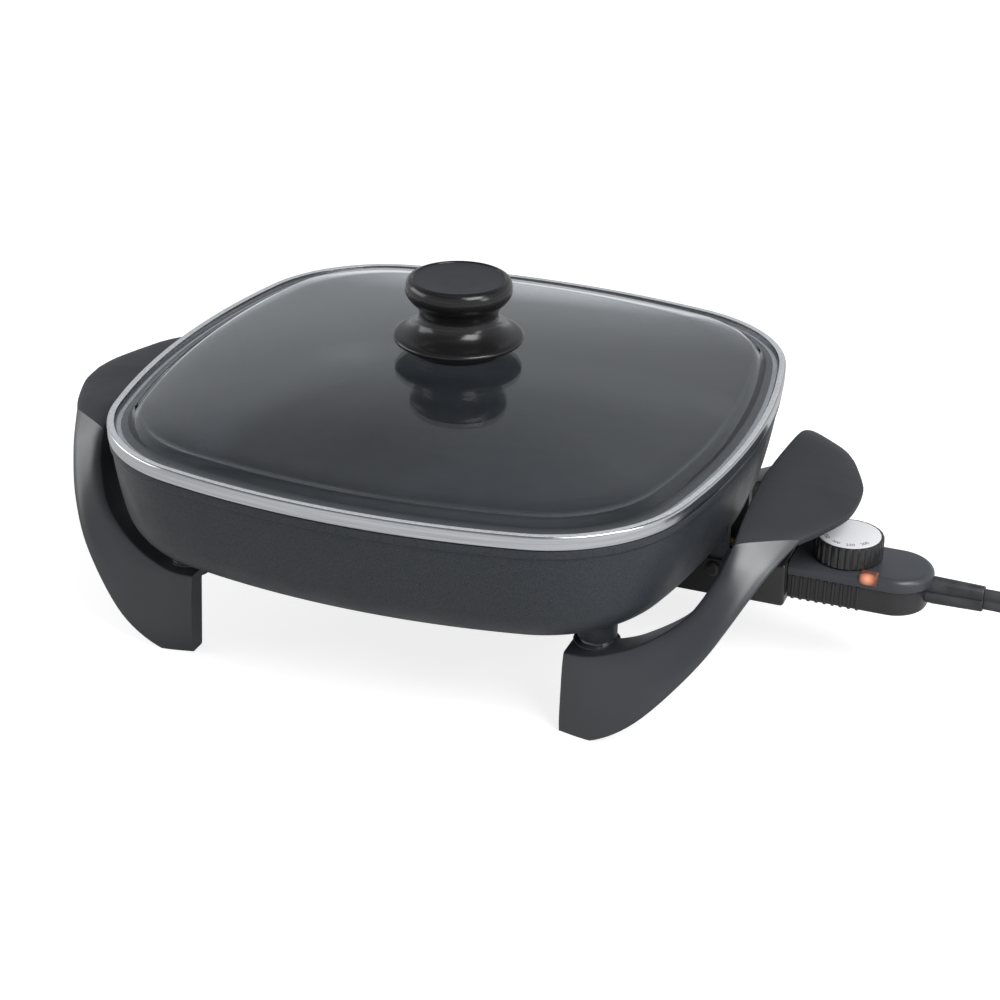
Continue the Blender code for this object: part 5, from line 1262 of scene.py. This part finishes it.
class SKILLET_OT_cord(bpy.types.Operator):
    """Draw the lead, its coil, the strain relief and the plug"""

    bl_idname = "skillet.cord"
    bl_label = "Cord and plug"

    def execute(self, context):
        path = cord_path()
        rings = lead_sweep(path, CORD_WIDTH, CORD_THICKNESS)
        lead = piece(
            "lead",
            ring_skin(rings),
            "heat_control",
            ["cord_rubber"],
            ["cord_lead", "cord_coil"],
        )
        along = (path[-1] - path[-2]).normalized()
        plug = self.draw_plug(path[-1] + along * CLEARANCE, along)
        self.draw_relief()
        return {"FINISHED"}

    def draw_plug(self, back, along):
        """The plug's moulded body, tapered to the lead."""
        back = back.copy()
        back.z = PLUG_THICKNESS / 2
        across = Vector((-along.y, along.x, 0.0))
        sleeve = (CORD_THICKNESS, CORD_WIDTH), PLUG_SLEEVE_SHARES
        body = (PLUG_WIDTH, PLUG_THICKNESS), PLUG_SHARES
        rings = []
        for (width, height), shares in (sleeve, body):
            for run, wide, high in shares:
                u, v = width * wide / 2, height * high / 2
                cut = min(u, v) * PLUG_ROUND_SHARE
                corners = [(corner, cut) for corner in ((u, -v), (u, v), (-u, v), (-u, -v))]
                place = back + along * (PLUG_LENGTH * run)
                section = eased(corners, PLUG_ROUND_STEPS)
                rings.append([place + across * p.x + Vector((0.0, 0.0, p.y)) for p in section])
        return piece(
            "plug", ring_skin(rings), "heat_control", ["cord_rubber"], ["plug_body"]
        )

    def draw_relief(self):
        """The strain relief: a collar inside the housing and a tapered twin sleeve outside."""
        collar = BASE_END - HOUSING_WALL * 2
        inside = collar - RELIEF_ROOT
        grow = RELIEF_ROOT * 2
        edge = HOUSING_END + CLEARANCE
        soft = RELIEF_EDGE / 3
        stations = [
            (inside, RELIEF_WIDTH - grow / 2, RELIEF_THICKNESS + grow),
            (collar, RELIEF_WIDTH - grow / 2, RELIEF_THICKNESS + grow),
            (collar, RELIEF_WIDTH - CLEARANCE, RELIEF_THICKNESS - CLEARANCE),
            (edge, RELIEF_WIDTH - CLEARANCE, RELIEF_THICKNESS - CLEARANCE),
            (edge, RELIEF_WIDTH, RELIEF_THICKNESS),
            (RELIEF_END - RELIEF_EDGE, RELIEF_END_WIDTH, RELIEF_END_THICKNESS),
            (RELIEF_END - soft, RELIEF_END_WIDTH - soft, RELIEF_END_THICKNESS - soft),
            (RELIEF_END, RELIEF_END_WIDTH - RELIEF_EDGE, RELIEF_END_THICKNESS - RELIEF_EDGE),
        ]
        rings = []
        for x, width, thickness in stations:
            place = Vector((x, 0.0, RELIEF_Z))
            section = twin_section(width, thickness)
            rings.append([place + Vector((0.0, -u, v)) for u, v in section])
        piece(
            "relief",
            ring_skin(rings),
            "heat_control",
            ["cord_rubber"],
            ["strain_relief"],
        )


class SKILLET_OT_pan(bpy.types.Operator):
    """Draw the cast pan with its rim, posts, element channel, sensor boss and lugs"""

    bl_idname = "skillet.pan"
    bl_label = "Pan"

    def execute(self, context):
        outer, rim, inner = pan_profile(context.scene.skillet_sizes.rim_round)
        rings = [outline(inset, height) for inset, height in outer + rim + inner]
        bm = ring_skin(rings)
        sunk = PAN_UNDER + PAN_FLOOR / 2
        reach = sunk - POST_BOTTOM
        hole = SCREW_RADIUS + CLEARANCE
        corners = [
            ((hole, reach), 0.0),
            ((POST_ROOT_RADIUS, reach), 0.0),
            ((POST_RADIUS, reach - POST_ROOT_HEIGHT), POST_ROOT_ROUND),
            ((POST_RADIUS, 0.0), CLEARANCE * 2),
            ((hole, 0.0), CLEARANCE),
        ]
        profile = eased(corners, steps=5)
        for x in (-POST_X, POST_X):
            for y in (-POST_Y, POST_Y):
                turned(profile, (x, y, POST_BOTTOM), POST_STEPS, bm=bm, ring=True)
        ring_skin(level_sweep(element_path(), channel_section()), bm=bm)
        self.draw_boss(bm)
        self.draw_lugs(bm)
        piece(
            "pan_casting", bm, "skillet", ["nonstick_cast"], ["pan"], sharp=28.0
        )
        return {"FINISHED"}

    def draw_boss(self, bm):
        """The round boss that the sensor rod slides into."""
        bore = SENSOR_RADIUS + LOOSE_FIT
        length = SENSOR_BOSS_LENGTH
        corners = [
            ((0.0, 0.0), 0.0),
            ((SENSOR_BOSS_RADIUS, 0.0), SENSOR_BOSS_ROUND),
            ((SENSOR_BOSS_RADIUS, length), CLEARANCE * 2),
            ((bore, length), CLEARANCE * 2),
            ((bore, PAN_WALL_LOW), 0.0),
            ((0.0, PAN_WALL_LOW), 0.0),
        ]
        place = (ELEMENT_END - length, 0.0, ELEMENT_Z)
        turned(eased(corners, steps=4), place, BOSS_STEPS, turn_to((1.0, 0.0, 0.0)), bm)

    def draw_lugs(self, bm):
        """The two lugs that the guard is screwed to."""
        start = GUARD_END - LUG_LENGTH - LOOSE_FIT
        end = GUARD_END - LOOSE_FIT
        lug_outer = GUARD_HALF_WIDTH - GUARD_SHEET - CLEARANCE
        side = [(start, PAN_UNDER - LUG_HEIGHT), (end, PAN_UNDER - LUG_HEIGHT)]
        for step in range(LUG_STEPS + 1):
            x = end + (start - end) * step / LUG_STEPS
            side.append((x, surface_height(x) + PAN_WALL_LOW / 2))
        for low in (-lug_outer, lug_outer - LUG_THICKNESS):
            faces = (low, low + LUG_THICKNESS)
            ring_skin([[(x, y, z) for x, z in side] for y in faces], bm=bm)


class SKILLET_OT_element(bpy.types.Operator):
    """Draw the sheathed heating element"""

    bl_idname = "skillet.element"
    bl_label = "Heating element"

    def execute(self, context):
        section = arc((0.0, ELEMENT_Z), ELEMENT_RADIUS, 0.0, math.tau, TUBE_STEPS)[:-1]
        piece(
            "element_tube",
            ring_skin(level_sweep(element_path(), section)),
            "skillet",
            ["sheath_steel"],
            ["heating_element"],
        )
        return {"FINISHED"}


class SKILLET_OT_handles(bpy.types.Operator):
    """Draw both handle mouldings, each a grip and two legs"""

    bl_idname = "skillet.handles"
    bl_label = "Handles"

    def execute(self, context):
        sections = handle_sections(context.scene.skillet_sizes.handle_round)
        for name, side in (("right", 1), ("left", -1)):
            self.draw_handle(name, side, sections)
        return {"FINISHED"}

    def draw_handle(self, name, side, sections):
        """One moulding; side is 1 for the right and -1 for the left."""
        rings = [[(side * p.x, p.y, p.z) for p in section] for section in sections]
        count = len(rings[0])
        bm = ring_skin(rings, caps=False)
        bm.verts.ensure_lookup_table()
        bm.verts.index_update()
        bmesh.ops.contextual_create(bm, geom=ring_edges(bm, bm.verts[:count]))
        crease = count * CREASE_ROW * HANDLE_STEPS
        for edge in ring_edges(bm, bm.verts[crease : crease + count]):
            edge.smooth = False
        for face in bm.faces:
            if min(v.index for v in face.verts) >= crease:
                face.material_index = 1
        whole = bm.verts[:] + bm.edges[:] + bm.faces[:]
        bmesh.ops.mirror(bm, geom=whole, axis="Y", merge_dist=SEAM_MERGE)
        self.draw_seats(bm, side)
        piece(
            f"{name}_moulding",
            bm,
            "skillet",
            ["phenolic_satin", "phenolic_matte"],
            [f"{name}_handle"],
            sharp=40.0,
        )

    def draw_seats(self, bm, side):
        """The round seats on the ledge under the pan's posts."""
        hole = SCREW_RADIUS + LOOSE_FIT
        corners = [
            ((hole, 0.0), CLEARANCE),
            ((POST_SEAT_RADIUS, 0.0), CLEARANCE * 2),
            ((POST_SEAT_RADIUS, -POST_SEAT_THICKNESS), CLEARANCE * 2),
            ((hole, -POST_SEAT_THICKNESS), CLEARANCE),
        ]
        profile = eased(corners, steps=3)
        for y in (-POST_Y, POST_Y):
            turned(profile, (side * POST_X, y, SEAT_TOP), POST_STEPS, bm=bm, ring=True)


class SKILLET_OT_lid(bpy.types.Operator):
    """Draw the glass lid, its steel band and its knob"""

    bl_idname = "skillet.lid"
    bl_label = "Lid"

    def execute(self, context):
        self.draw_band(context.scene.skillet_sizes.band_round)
        self.draw_glass()
        self.draw_skirt()
        self.draw_knob()
        return {"FINISHED"}

    def draw_band(self, edge_round):
        """The steel band, which folds under the glass and holds it, with a satin upper lip whose
        pale, partly metal finish is a painted highlight.
        """
        shelf = GLASS_BOTTOM - CLEARANCE
        fold = RIM_INSET + RIM_LEDGE_WIDTH - CLEARANCE
        inner = fold + BAND_SHELF
        lip_round = edge_round * BAND_LIP_ROUND_SHARE
        shelf_round = edge_round * BAND_SHELF_ROUND_SHARE
        corners = [
            ((0.0, LID_TOP), BAND_ROLL),
            ((BAND_LIP, LID_TOP - BAND_LIP_FALL), lip_round),
            ((BAND_LIP, LID_TOP - BAND_SHEET), lip_round),
            ((BAND_SHEET, LID_TOP - BAND_SHEET), BAND_ROLL - BAND_SHEET),
            ((BAND_SHEET, LID_BOTTOM + BAND_SHEET), edge_round),
            ((fold - BAND_SHEET, LID_BOTTOM + BAND_SHEET), edge_round),
            ((fold - BAND_SHEET, shelf), edge_round),
            ((inner, shelf), shelf_round),
            ((inner, shelf - BAND_SHEET), shelf_round),
            ((fold, shelf - BAND_SHEET), edge_round),
            ((fold, LID_BOTTOM), edge_round * 2),
            ((0.0, LID_BOTTOM), edge_round * 4),
        ]
        rings = [outline(inset, height) for inset, height in eased(corners, BAND_STEPS)]
        band = piece(
            "band",
            looped_skin(rings),
            "lid",
            ["band_steel", "band_lip"],
            ["lid_band"],
            sharp=50.0,
        )
        # The lip's upward faces take the satin finish, whose pale colour is a painted highlight
        # line
        for face in band.data.polygons:
            if face.normal.z > LIP_HIGHLIGHT_UPRIGHT and face.center.z > LID_TOP - BAND_SHEET:
                face.material_index = 1

    def glass_rings(self, drop):
        """The glass's upper skin from its edge to its hole, or the same skin lowered."""
        flat = GLASS_EDGE_INSET + GLASS_FLANGE
        rings = [
            outline(GLASS_EDGE_INSET, GLASS_TOP - drop),
            outline((GLASS_EDGE_INSET + flat) / 2, GLASS_TOP - drop),
        ]
        reach = LID_HALF - DOME_INSET
        dome_slope = 2 * DOME_RISE / reach
        for step in range(BEND_RINGS + 1):
            t = step / BEND_RINGS
            inset = flat + GLASS_BEND_RUN * t
            run = GLASS_BEND_RUN * dome_slope
            rise = GLASS_BEND_RISE * (3 * t**2 - 2 * t**3) + run * (t**3 - t**2)
            rings.append(outline(inset, GLASS_TOP + rise - drop))
        for step in range(1, DOME_RINGS):
            share = 1 - step / DOME_RINGS
            rings.append(self.dome_ring(share, DOME_TOP - DOME_RISE * share**2 - drop))
        hole = []
        for x, y, z in self.dome_ring(GLASS_HOLE_RADIUS / reach, DOME_TOP - drop):
            away = Vector((x, y)).normalized() * GLASS_HOLE_RADIUS
            hole.append((away.x, away.y, z))
        return rings + [hole]

    def dome_ring(self, share, height):
        """A ring of the dome: the bowed square at 1, rounder and smaller towards the middle."""
        reach = LID_HALF - DOME_INSET
        ring = []
        for x, y, z in outline(DOME_INSET, height):
            away = Vector((x, y))
            point = (away.normalized() * reach).lerp(away, share**2) * share
            ring.append((point.x, point.y, z))
        return ring

    def draw_glass(self):
        """The domed glass, a thick shell with a hole for the knob's screw."""
        upper = self.glass_rings(0.0)
        upper[0] = outline(GLASS_EDGE_INSET + GLASS_EDGE_ROUND, GLASS_TOP)
        lower = self.glass_rings(GLASS_THICKNESS)[::-1]
        lower[-1] = outline(GLASS_EDGE_INSET + GLASS_EDGE_ROUND, GLASS_BOTTOM)
        side = [
            outline(GLASS_EDGE_INSET, GLASS_BOTTOM + GLASS_EDGE_ROUND),
            outline(GLASS_EDGE_INSET, GLASS_TOP - GLASS_EDGE_ROUND),
        ]
        glass = piece(
            "glass",
            looped_skin(upper + lower + side),
            "lid",
            ["tempered_glass"],
            ["lid_glass"],
            sharp=40.0,
        )
        glass.visible_shadow = False
        self.keep_lamps_out(glass)

    def keep_lamps_out(self, glass):
        """Let the glass mirror the surround without the lamps' square shapes."""
        kept = bpy.data.collections.new("lamps_not_mirrored")
        kept.objects.link(glass)
        kept.collection_objects[0].light_linking.link_state = "EXCLUDE"
        for lamp in bpy.data.objects:
            if lamp.type == "LIGHT":
                lamp.light_linking.receiver_collection = kept

    def draw_skirt(self):
        """The short skirt that the knob stands on."""
        bore = KNOB_BORE_RADIUS
        corners = [
            ((SKIRT_RADIUS, SKIRT_HEIGHT), SKIRT_EDGE),
            ((SKIRT_RADIUS, 0.0), SKIRT_EDGE),
            ((bore, 0.0), 0.0),
            ((bore, SKIRT_HEIGHT), 0.0),
        ]
        bm = turned(eased(corners, steps=6), (0.0, 0.0, SKIRT_BOTTOM), KNOB_TURN_STEPS, ring=True)
        piece("skirt", bm, "lid", ["knob_gloss"], ["knob_skirt"])

    def draw_knob(self):
        """The knob: a matte top let into a round edge, a waist and a flange."""
        bore = KNOB_BORE_RADIUS
        side = [
            (KNOB_RADIUS * out, KNOB_HEIGHT * up)
            for out, up in smooth_rows(KNOB_SIDE_SHARES, KNOB_STEPS)
        ]
        rim = side[0][0]
        level = KNOB_HEIGHT - KNOB_DISH
        dish = [(0.0, level), (rim / 2, level)]
        dish += [(rim - SKIRT_EDGE * u, level + KNOB_DISH * v) for u, v in KNOB_DISH_SHARES]
        core = [(bore, 0.0), (bore, KNOB_BORE_DEPTH), (0.0, KNOB_BORE_DEPTH)]
        bm = turned(dish + side + core, (0.0, 0.0, KNOB_BOTTOM), KNOB_TURN_STEPS)
        for face in bm.faces:
            centre = face.calc_center_median()
            if centre.z > KNOB_BOTTOM + level - KNOB_DISH and centre.xy.length < rim - SKIRT_EDGE:
                face.material_index = 1
        piece("knob_body", bm, "lid", ["knob_gloss", "phenolic_matte"], ["knob"])


class SKILLET_OT_control(bpy.types.Operator):
    """Draw the heat control's ribbed base, cover, hood and lamp lens"""

    bl_idname = "skillet.control"
    bl_label = "Heat control"

    def execute(self, context):
        self.draw_base()
        self.draw_cover()
        self.draw_hood()
        self.draw_lens()
        return {"FINISHED"}

    def slab(self, plan, low, high, low_edge, high_edge, steps=4):
        """A plan raised between two levels, its lower and upper edges rounded."""
        lower = arc((low_edge, low + low_edge), low_edge, -math.pi / 2, -math.pi, steps)
        upper = arc((high_edge, high - high_edge), high_edge, math.pi, math.pi / 2, steps)
        rings = [[(x, y, level) for x, y in plan(inset)] for inset, level in lower + upper]
        return ring_skin(rings)

    def draw_base(self):
        """The glossy base with its grip ribs."""
        top = HOUSING_BOTTOM + HOUSING_BASE_HEIGHT
        bm = self.slab(base_outline, HOUSING_BOTTOM, top, BASE_EDGE, CLEARANCE)
        piece("base", bm, "heat_control", ["phenolic_gloss"], ["control_base"])

    def draw_cover(self):
        """The smooth cover."""
        levels = (COVER_BOTTOM, HOUSING_TOP)
        bm = self.slab(cover_outline, *levels, CLEARANCE, COVER_EDGE, COVER_EDGE_STEPS)
        piece("cover", bm, "heat_control", ["cover_satin"], ["control_cover"])

    def draw_hood(self):
        """The hood over the contacts, open towards the pan."""
        low = Vector((HOOD_START, -HOOD_HALF_WIDTH, HOOD_BOTTOM))
        high = Vector((HOOD_END, HOOD_HALF_WIDTH, HOUSING_TOP))
        bm = rounded_box(low, high, HOOD_EDGE, segments=4)
        mouth = min(bm.faces, key=lambda face: face.calc_center_median().x)
        inset = HOOD_WALL - HOOD_EDGE
        bmesh.ops.inset_region(bm, faces=[mouth], thickness=inset, use_even_offset=True)
        made = bmesh.ops.extrude_face_region(bm, geom=[mouth])
        verts = [item for item in made["geom"] if isinstance(item, bmesh.types.BMVert)]
        bmesh.ops.translate(bm, vec=(HOOD_LENGTH - HOOD_WALL, 0.0, 0.0), verts=verts)
        bmesh.ops.delete(bm, geom=[mouth], context="FACES_ONLY")
        piece("hood", bm, "heat_control", ["phenolic_gloss"], ["contact_hood"])

    def draw_lens(self):
        """The amber lens over the lamp."""
        low, high = lens_box()
        bm = rounded_box(low, high, LENS_EDGE, segments=5)
        piece("lens", bm, "heat_control", ["lamp_amber"], ["lamp_lens"])


class SKILLET_OT_dial(bpy.types.Operator):
    """Draw the fluted dial, its silver face and its numbers"""

    bl_idname = "skillet.dial"
    bl_label = "Dial"

    def execute(self, context):
        self.draw_grip()
        self.draw_face()
        self.draw_numbers(context.scene.skillet_sizes.numeral_height)
        return {"FINISHED"}

    def fluted(self, radius, depth, height):
        """A ring at one height with the grip's flutes cut into it."""
        ring = []
        for step in range(DIAL_STEPS):
            angle = math.tau * step / DIAL_STEPS
            wave = math.cos(angle * DIAL_FLUTES)
            reach = radius - depth * max(wave, 0.0) ** DIAL_FLUTE_SHARPNESS
            ring.append((DIAL_X + reach * math.cos(angle), reach * math.sin(angle), height))
        return ring

    def draw_grip(self):
        """The dial's fluted body."""
        edge = DIAL_FLUTE_DEPTH
        face = DIAL_RADIUS - DIAL_RIM
        rows = [(face, 0.0, DIAL_BOTTOM)]
        for inwards, deep, up in DIAL_LOWER_EDGE:
            rows.append((DIAL_RADIUS - edge * inwards, edge * deep, DIAL_BOTTOM + edge * up))
        rows.append((DIAL_RADIUS, edge, DIAL_BOTTOM + DIAL_HEIGHT / 2))
        for inwards, deep, down in DIAL_UPPER_EDGE:
            rows.append((DIAL_RADIUS - edge * inwards, edge * deep, DIAL_TOP - edge * down))
        rows += [
            (face + DIAL_RIM_ROUND, 0.0, DIAL_TOP),
            (face, 0.0, DIAL_TOP - DIAL_RIM_DROP),
            (face, 0.0, DIAL_TOP - DIAL_FACE_THICKNESS),
        ]
        bm = ring_skin([self.fluted(*row) for row in rows])
        piece("dial_grip", bm, "dial", ["phenolic_gloss"], ["dial"])

    def draw_face(self):
        """The silver disc let into the dial."""
        radius = DIAL_RADIUS - DIAL_RIM - CLEARANCE
        thickness = DIAL_FACE_THICKNESS - CLEARANCE / 2
        corners = [
            ((0.0, 0.0), 0.0),
            ((radius, 0.0), 0.0),
            ((radius, thickness), CLEARANCE),
            ((0.0, thickness), 0.0),
        ]
        low = DIAL_TOP - DIAL_FACE_THICKNESS + CLEARANCE
        bm = turned(eased(corners, steps=4), (DIAL_X, 0.0, low), DISC_STEPS)
        piece("dial_disc", bm, "dial", ["dial_silver"], ["dial_face"])

    def draw_numbers(self, height):
        """Plain numbers round the face, as thin raised ink."""
        bm = bmesh.new()
        middle = Matrix.Translation((DIAL_X, 0.0, DIAL_TOP + CLEARANCE / 2))
        radius = DIAL_RADIUS - DIAL_RIM - CLEARANCE
        out = Matrix.Translation((0.0, -radius * NUMERAL_RADIUS_SHARE, 0.0))
        for i, mark in enumerate(NUMERALS):
            flat = self.numeral(mark, height)
            turn = Matrix.Rotation(NUMERAL_START - NUMERAL_PITCH * i, 4, "Z")
            flat.transform(middle @ turn @ out)
            bm.from_mesh(flat)
            bpy.data.meshes.remove(flat)
        piece("dial_numbers", bm, "dial", ["dial_ink"], ())

    def numeral(self, mark, height):
        """A number as a thin solid mesh, centred on its place."""
        curve = bpy.data.curves.new("number", "FONT")
        curve.body = mark
        curve.size = height
        curve.align_x = "CENTER"
        curve.align_y = "CENTER"
        curve.extrude = NUMERAL_THICKNESS / 2
        curve.resolution_u = NUMERAL_CURVE_STEPS
        obj = bpy.data.objects.new("number", curve)
        bpy.context.scene.collection.objects.link(obj)
        depsgraph = bpy.context.evaluated_depsgraph_get()
        mesh = bpy.data.meshes.new_from_object(obj.evaluated_get(depsgraph))
        bpy.data.objects.remove(obj)
        bpy.data.curves.remove(curve)
        return mesh


class SKILLET_OT_stage(bpy.types.Operator):
    """Set the floor, the soft lamps, the pale world and the camera"""

    bl_idname = "skillet.stage"
    bl_label = "Stage"

    def execute(self, context):
        self.place_camera(context.scene)
        self.lay_floor(context.scene)
        self.hang_lamps(context.scene)
        self.light_world(context.scene)
        context.scene.view_settings.view_transform = "Standard"
        return {"FINISHED"}

    def place_camera(self, scene):
        """A camera at the photograph's angle."""
        level = math.cos(CAMERA_ELEVATION)
        right = Vector((math.cos(CAMERA_AZIMUTH), math.sin(CAMERA_AZIMUTH), 0.0))
        back = Vector((right.y * level, -right.x * level, math.sin(CAMERA_ELEVATION)))
        up = back.cross(right)
        cos_roll, sin_roll = math.cos(CAMERA_ROLL), math.sin(CAMERA_ROLL)
        turned_right = right * cos_roll + up * sin_roll
        turned_up = up * cos_roll - right * sin_roll
        data = bpy.data.cameras.new("camera")
        data.lens = CAMERA_LENS
        data.sensor_width = SENSOR_WIDTH
        data.clip_end = CAMERA_REACH
        camera = bpy.data.objects.new("camera", data)
        columns = (turned_right, turned_up, back, CAMERA_PLACE)
        rows = [[column[i] for column in columns] for i in range(3)]
        camera.matrix_world = Matrix((*rows, (0.0, 0.0, 0.0, 1.0)))
        scene.collection.objects.link(camera)
        scene.camera = camera

    def lay_floor(self, scene):
        """A pale floor that keeps the skillet's shadow."""
        bm = bmesh.new()
        bmesh.ops.create_grid(bm, x_segments=1, y_segments=1, size=FLOOR_HALF)
        mesh = bpy.data.meshes.new("floor")
        bm.to_mesh(mesh)
        bm.free()
        floor = bpy.data.objects.new("floor", mesh)
        scene.collection.objects.link(floor)
        material = surface(
            "floor",
            (FLOOR_GREY,) * 3,
            roughness=0.9,
            Specular_IOR_Level=0.0,
            Emission_Color=(1.0, 1.0, 1.0, 1.0),
        )
        glow = self.seen(material.node_tree, FLOOR_SEEN, FLOOR_MIRRORED)
        links = material.node_tree.links
        links.new(glow, shader_of(material).inputs["Emission Strength"])
        floor.data.materials.append(material)

    def seen(self, tree, shown, mirrored):
        """A value for rays that see straight, one for reflections, and nothing for the rest."""
        nodes, links = tree.nodes, tree.links
        path = nodes.new("ShaderNodeLightPath")
        straight = nodes.new("ShaderNodeMath")
        straight.operation = "MAXIMUM"
        links.new(path.outputs["Is Camera Ray"], straight.inputs[0])
        links.new(path.outputs["Is Transmission Ray"], straight.inputs[1])
        reflected = nodes.new("ShaderNodeMapRange")
        reflected.inputs["To Max"].default_value = mirrored
        links.new(path.outputs["Is Glossy Ray"], reflected.inputs["Value"])
        scale = nodes.new("ShaderNodeMapRange")
        scale.inputs["To Max"].default_value = shown
        links.new(straight.outputs[0], scale.inputs["Value"])
        links.new(reflected.outputs["Result"], scale.inputs["To Min"])
        return scale.outputs["Result"]

    def hang_lamps(self, scene):
        """Soft lamps: a key high on the right, a wide one on the left, a small one low right."""
        distance = scene.skillet_sizes.key_distance
        for name, way, size, power in LAMPS:
            data = bpy.data.lights.new(name, "AREA")
            data.shape = "RECTANGLE"
            data.size, data.size_y = size
            data.energy = power
            lamp = bpy.data.objects.new(name, data)
            place = Vector(way).normalized() * distance
            lamp.location = place
            lamp.rotation_euler = place.to_track_quat("Z", "Y").to_euler()
            scene.collection.objects.link(lamp)

    def light_world(self, scene):
        """A surround that the camera sees as plain white, and glass and gloss as a studio."""
        world = bpy.data.worlds.new("surround")
        world.use_nodes = True
        tree = world.node_tree
        place = tree.nodes.new("ShaderNodeTexCoord")
        parts = tree.nodes.new("ShaderNodeSeparateXYZ")
        tree.links.new(place.outputs["Generated"], parts.inputs["Vector"])
        path = tree.nodes.new("ShaderNodeLightPath")
        through = self.greys(tree, parts.outputs["Z"], SKY_GREYS)
        mirrored = self.greys(tree, parts.outputs["Z"], MIRRORED_GREYS)
        studio = self.mixed(tree, path.outputs["Is Glossy Ray"], through, mirrored)
        shown = self.mixed(tree, path.outputs["Is Camera Ray"], studio, 1.0)
        whole = self.mixed(tree, self.seen(tree, 1.0, 1.0), FILL_LIGHT, shown)
        tree.links.new(whole, tree.nodes["Background"].inputs["Color"])
        scene.world = world

    def mixed(self, tree, factor, first, second):
        """A mix of two colours by a factor, each of them a node's output or a plain grey."""
        mix = tree.nodes.new("ShaderNodeMix")
        mix.data_type = "RGBA"
        tree.links.new(factor, mix.inputs["Factor"])
        for socket, value in ((mix.inputs["A"], first), (mix.inputs["B"], second)):
            if isinstance(value, float):
                socket.default_value = (value, value, value, 1.0)
            else:
                tree.links.new(value, socket)
        return mix.outputs["Result"]

    def greys(self, tree, height, rows):
        """A run of cool greys up the height of a ray's way."""
        ramp = tree.nodes.new("ShaderNodeValToRGB")
        steps = ramp.color_ramp.elements
        for position, grey in rows[1:-1]:
            steps.new(position)
        for step, (position, grey) in zip(steps, rows):
            step.color = (*(grey * tint for tint in SKY_TINT), 1.0)
        tree.links.new(height, ramp.inputs["Fac"])
        return ramp.outputs["Color"]


class SKILLET_PT_panel(bpy.types.Panel):
    """The skillet's operators and values in the sidebar"""

    bl_label = "Electric skillet"
    bl_idname = "SKILLET_PT_panel"
    bl_space_type = "VIEW_3D"
    bl_region_type = "UI"
    bl_category = "Skillet"

    def draw(self, context):
        for operator in OPERATORS:
            self.layout.operator(operator.bl_idname)
        for group in (context.scene.skillet_sizes, context.scene.skillet_colours):
            for name in group.__annotations__:
                self.layout.prop(group, name)


OPERATORS = (
    SKILLET_OT_stage,
    SKILLET_OT_finishes,
    SKILLET_OT_cord,
    SKILLET_OT_pan,
    SKILLET_OT_element,
    SKILLET_OT_handles,
    SKILLET_OT_lid,
    SKILLET_OT_control,
    SKILLET_OT_dial,
)
CLASSES = (SkilletSizes, SkilletColours, *OPERATORS, SKILLET_PT_panel)


def register():
    """Add the classes and the scene's two groups of values."""
    for cls in CLASSES:
        bpy.utils.register_class(cls)
    bpy.types.Scene.skillet_sizes = bpy.props.PointerProperty(type=SkilletSizes)
    bpy.types.Scene.skillet_colours = bpy.props.PointerProperty(type=SkilletColours)


def unregister():
    """Take the groups of values and the classes away again."""
    del bpy.types.Scene.skillet_colours
    del bpy.types.Scene.skillet_sizes
    for cls in reversed(CLASSES):
        bpy.utils.unregister_class(cls)


def main():
    """Dress the skillet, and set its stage."""
    register()
    bpy.ops.skillet.stage()
    bpy.ops.skillet.finishes()
    bpy.ops.skillet.cord()
    bpy.ops.skillet.pan()
    bpy.ops.skillet.element()
    bpy.ops.skillet.handles()
    bpy.ops.skillet.lid()
    bpy.ops.skillet.control()
    bpy.ops.skillet.dial()


if __name__ == "__main__":
    main()
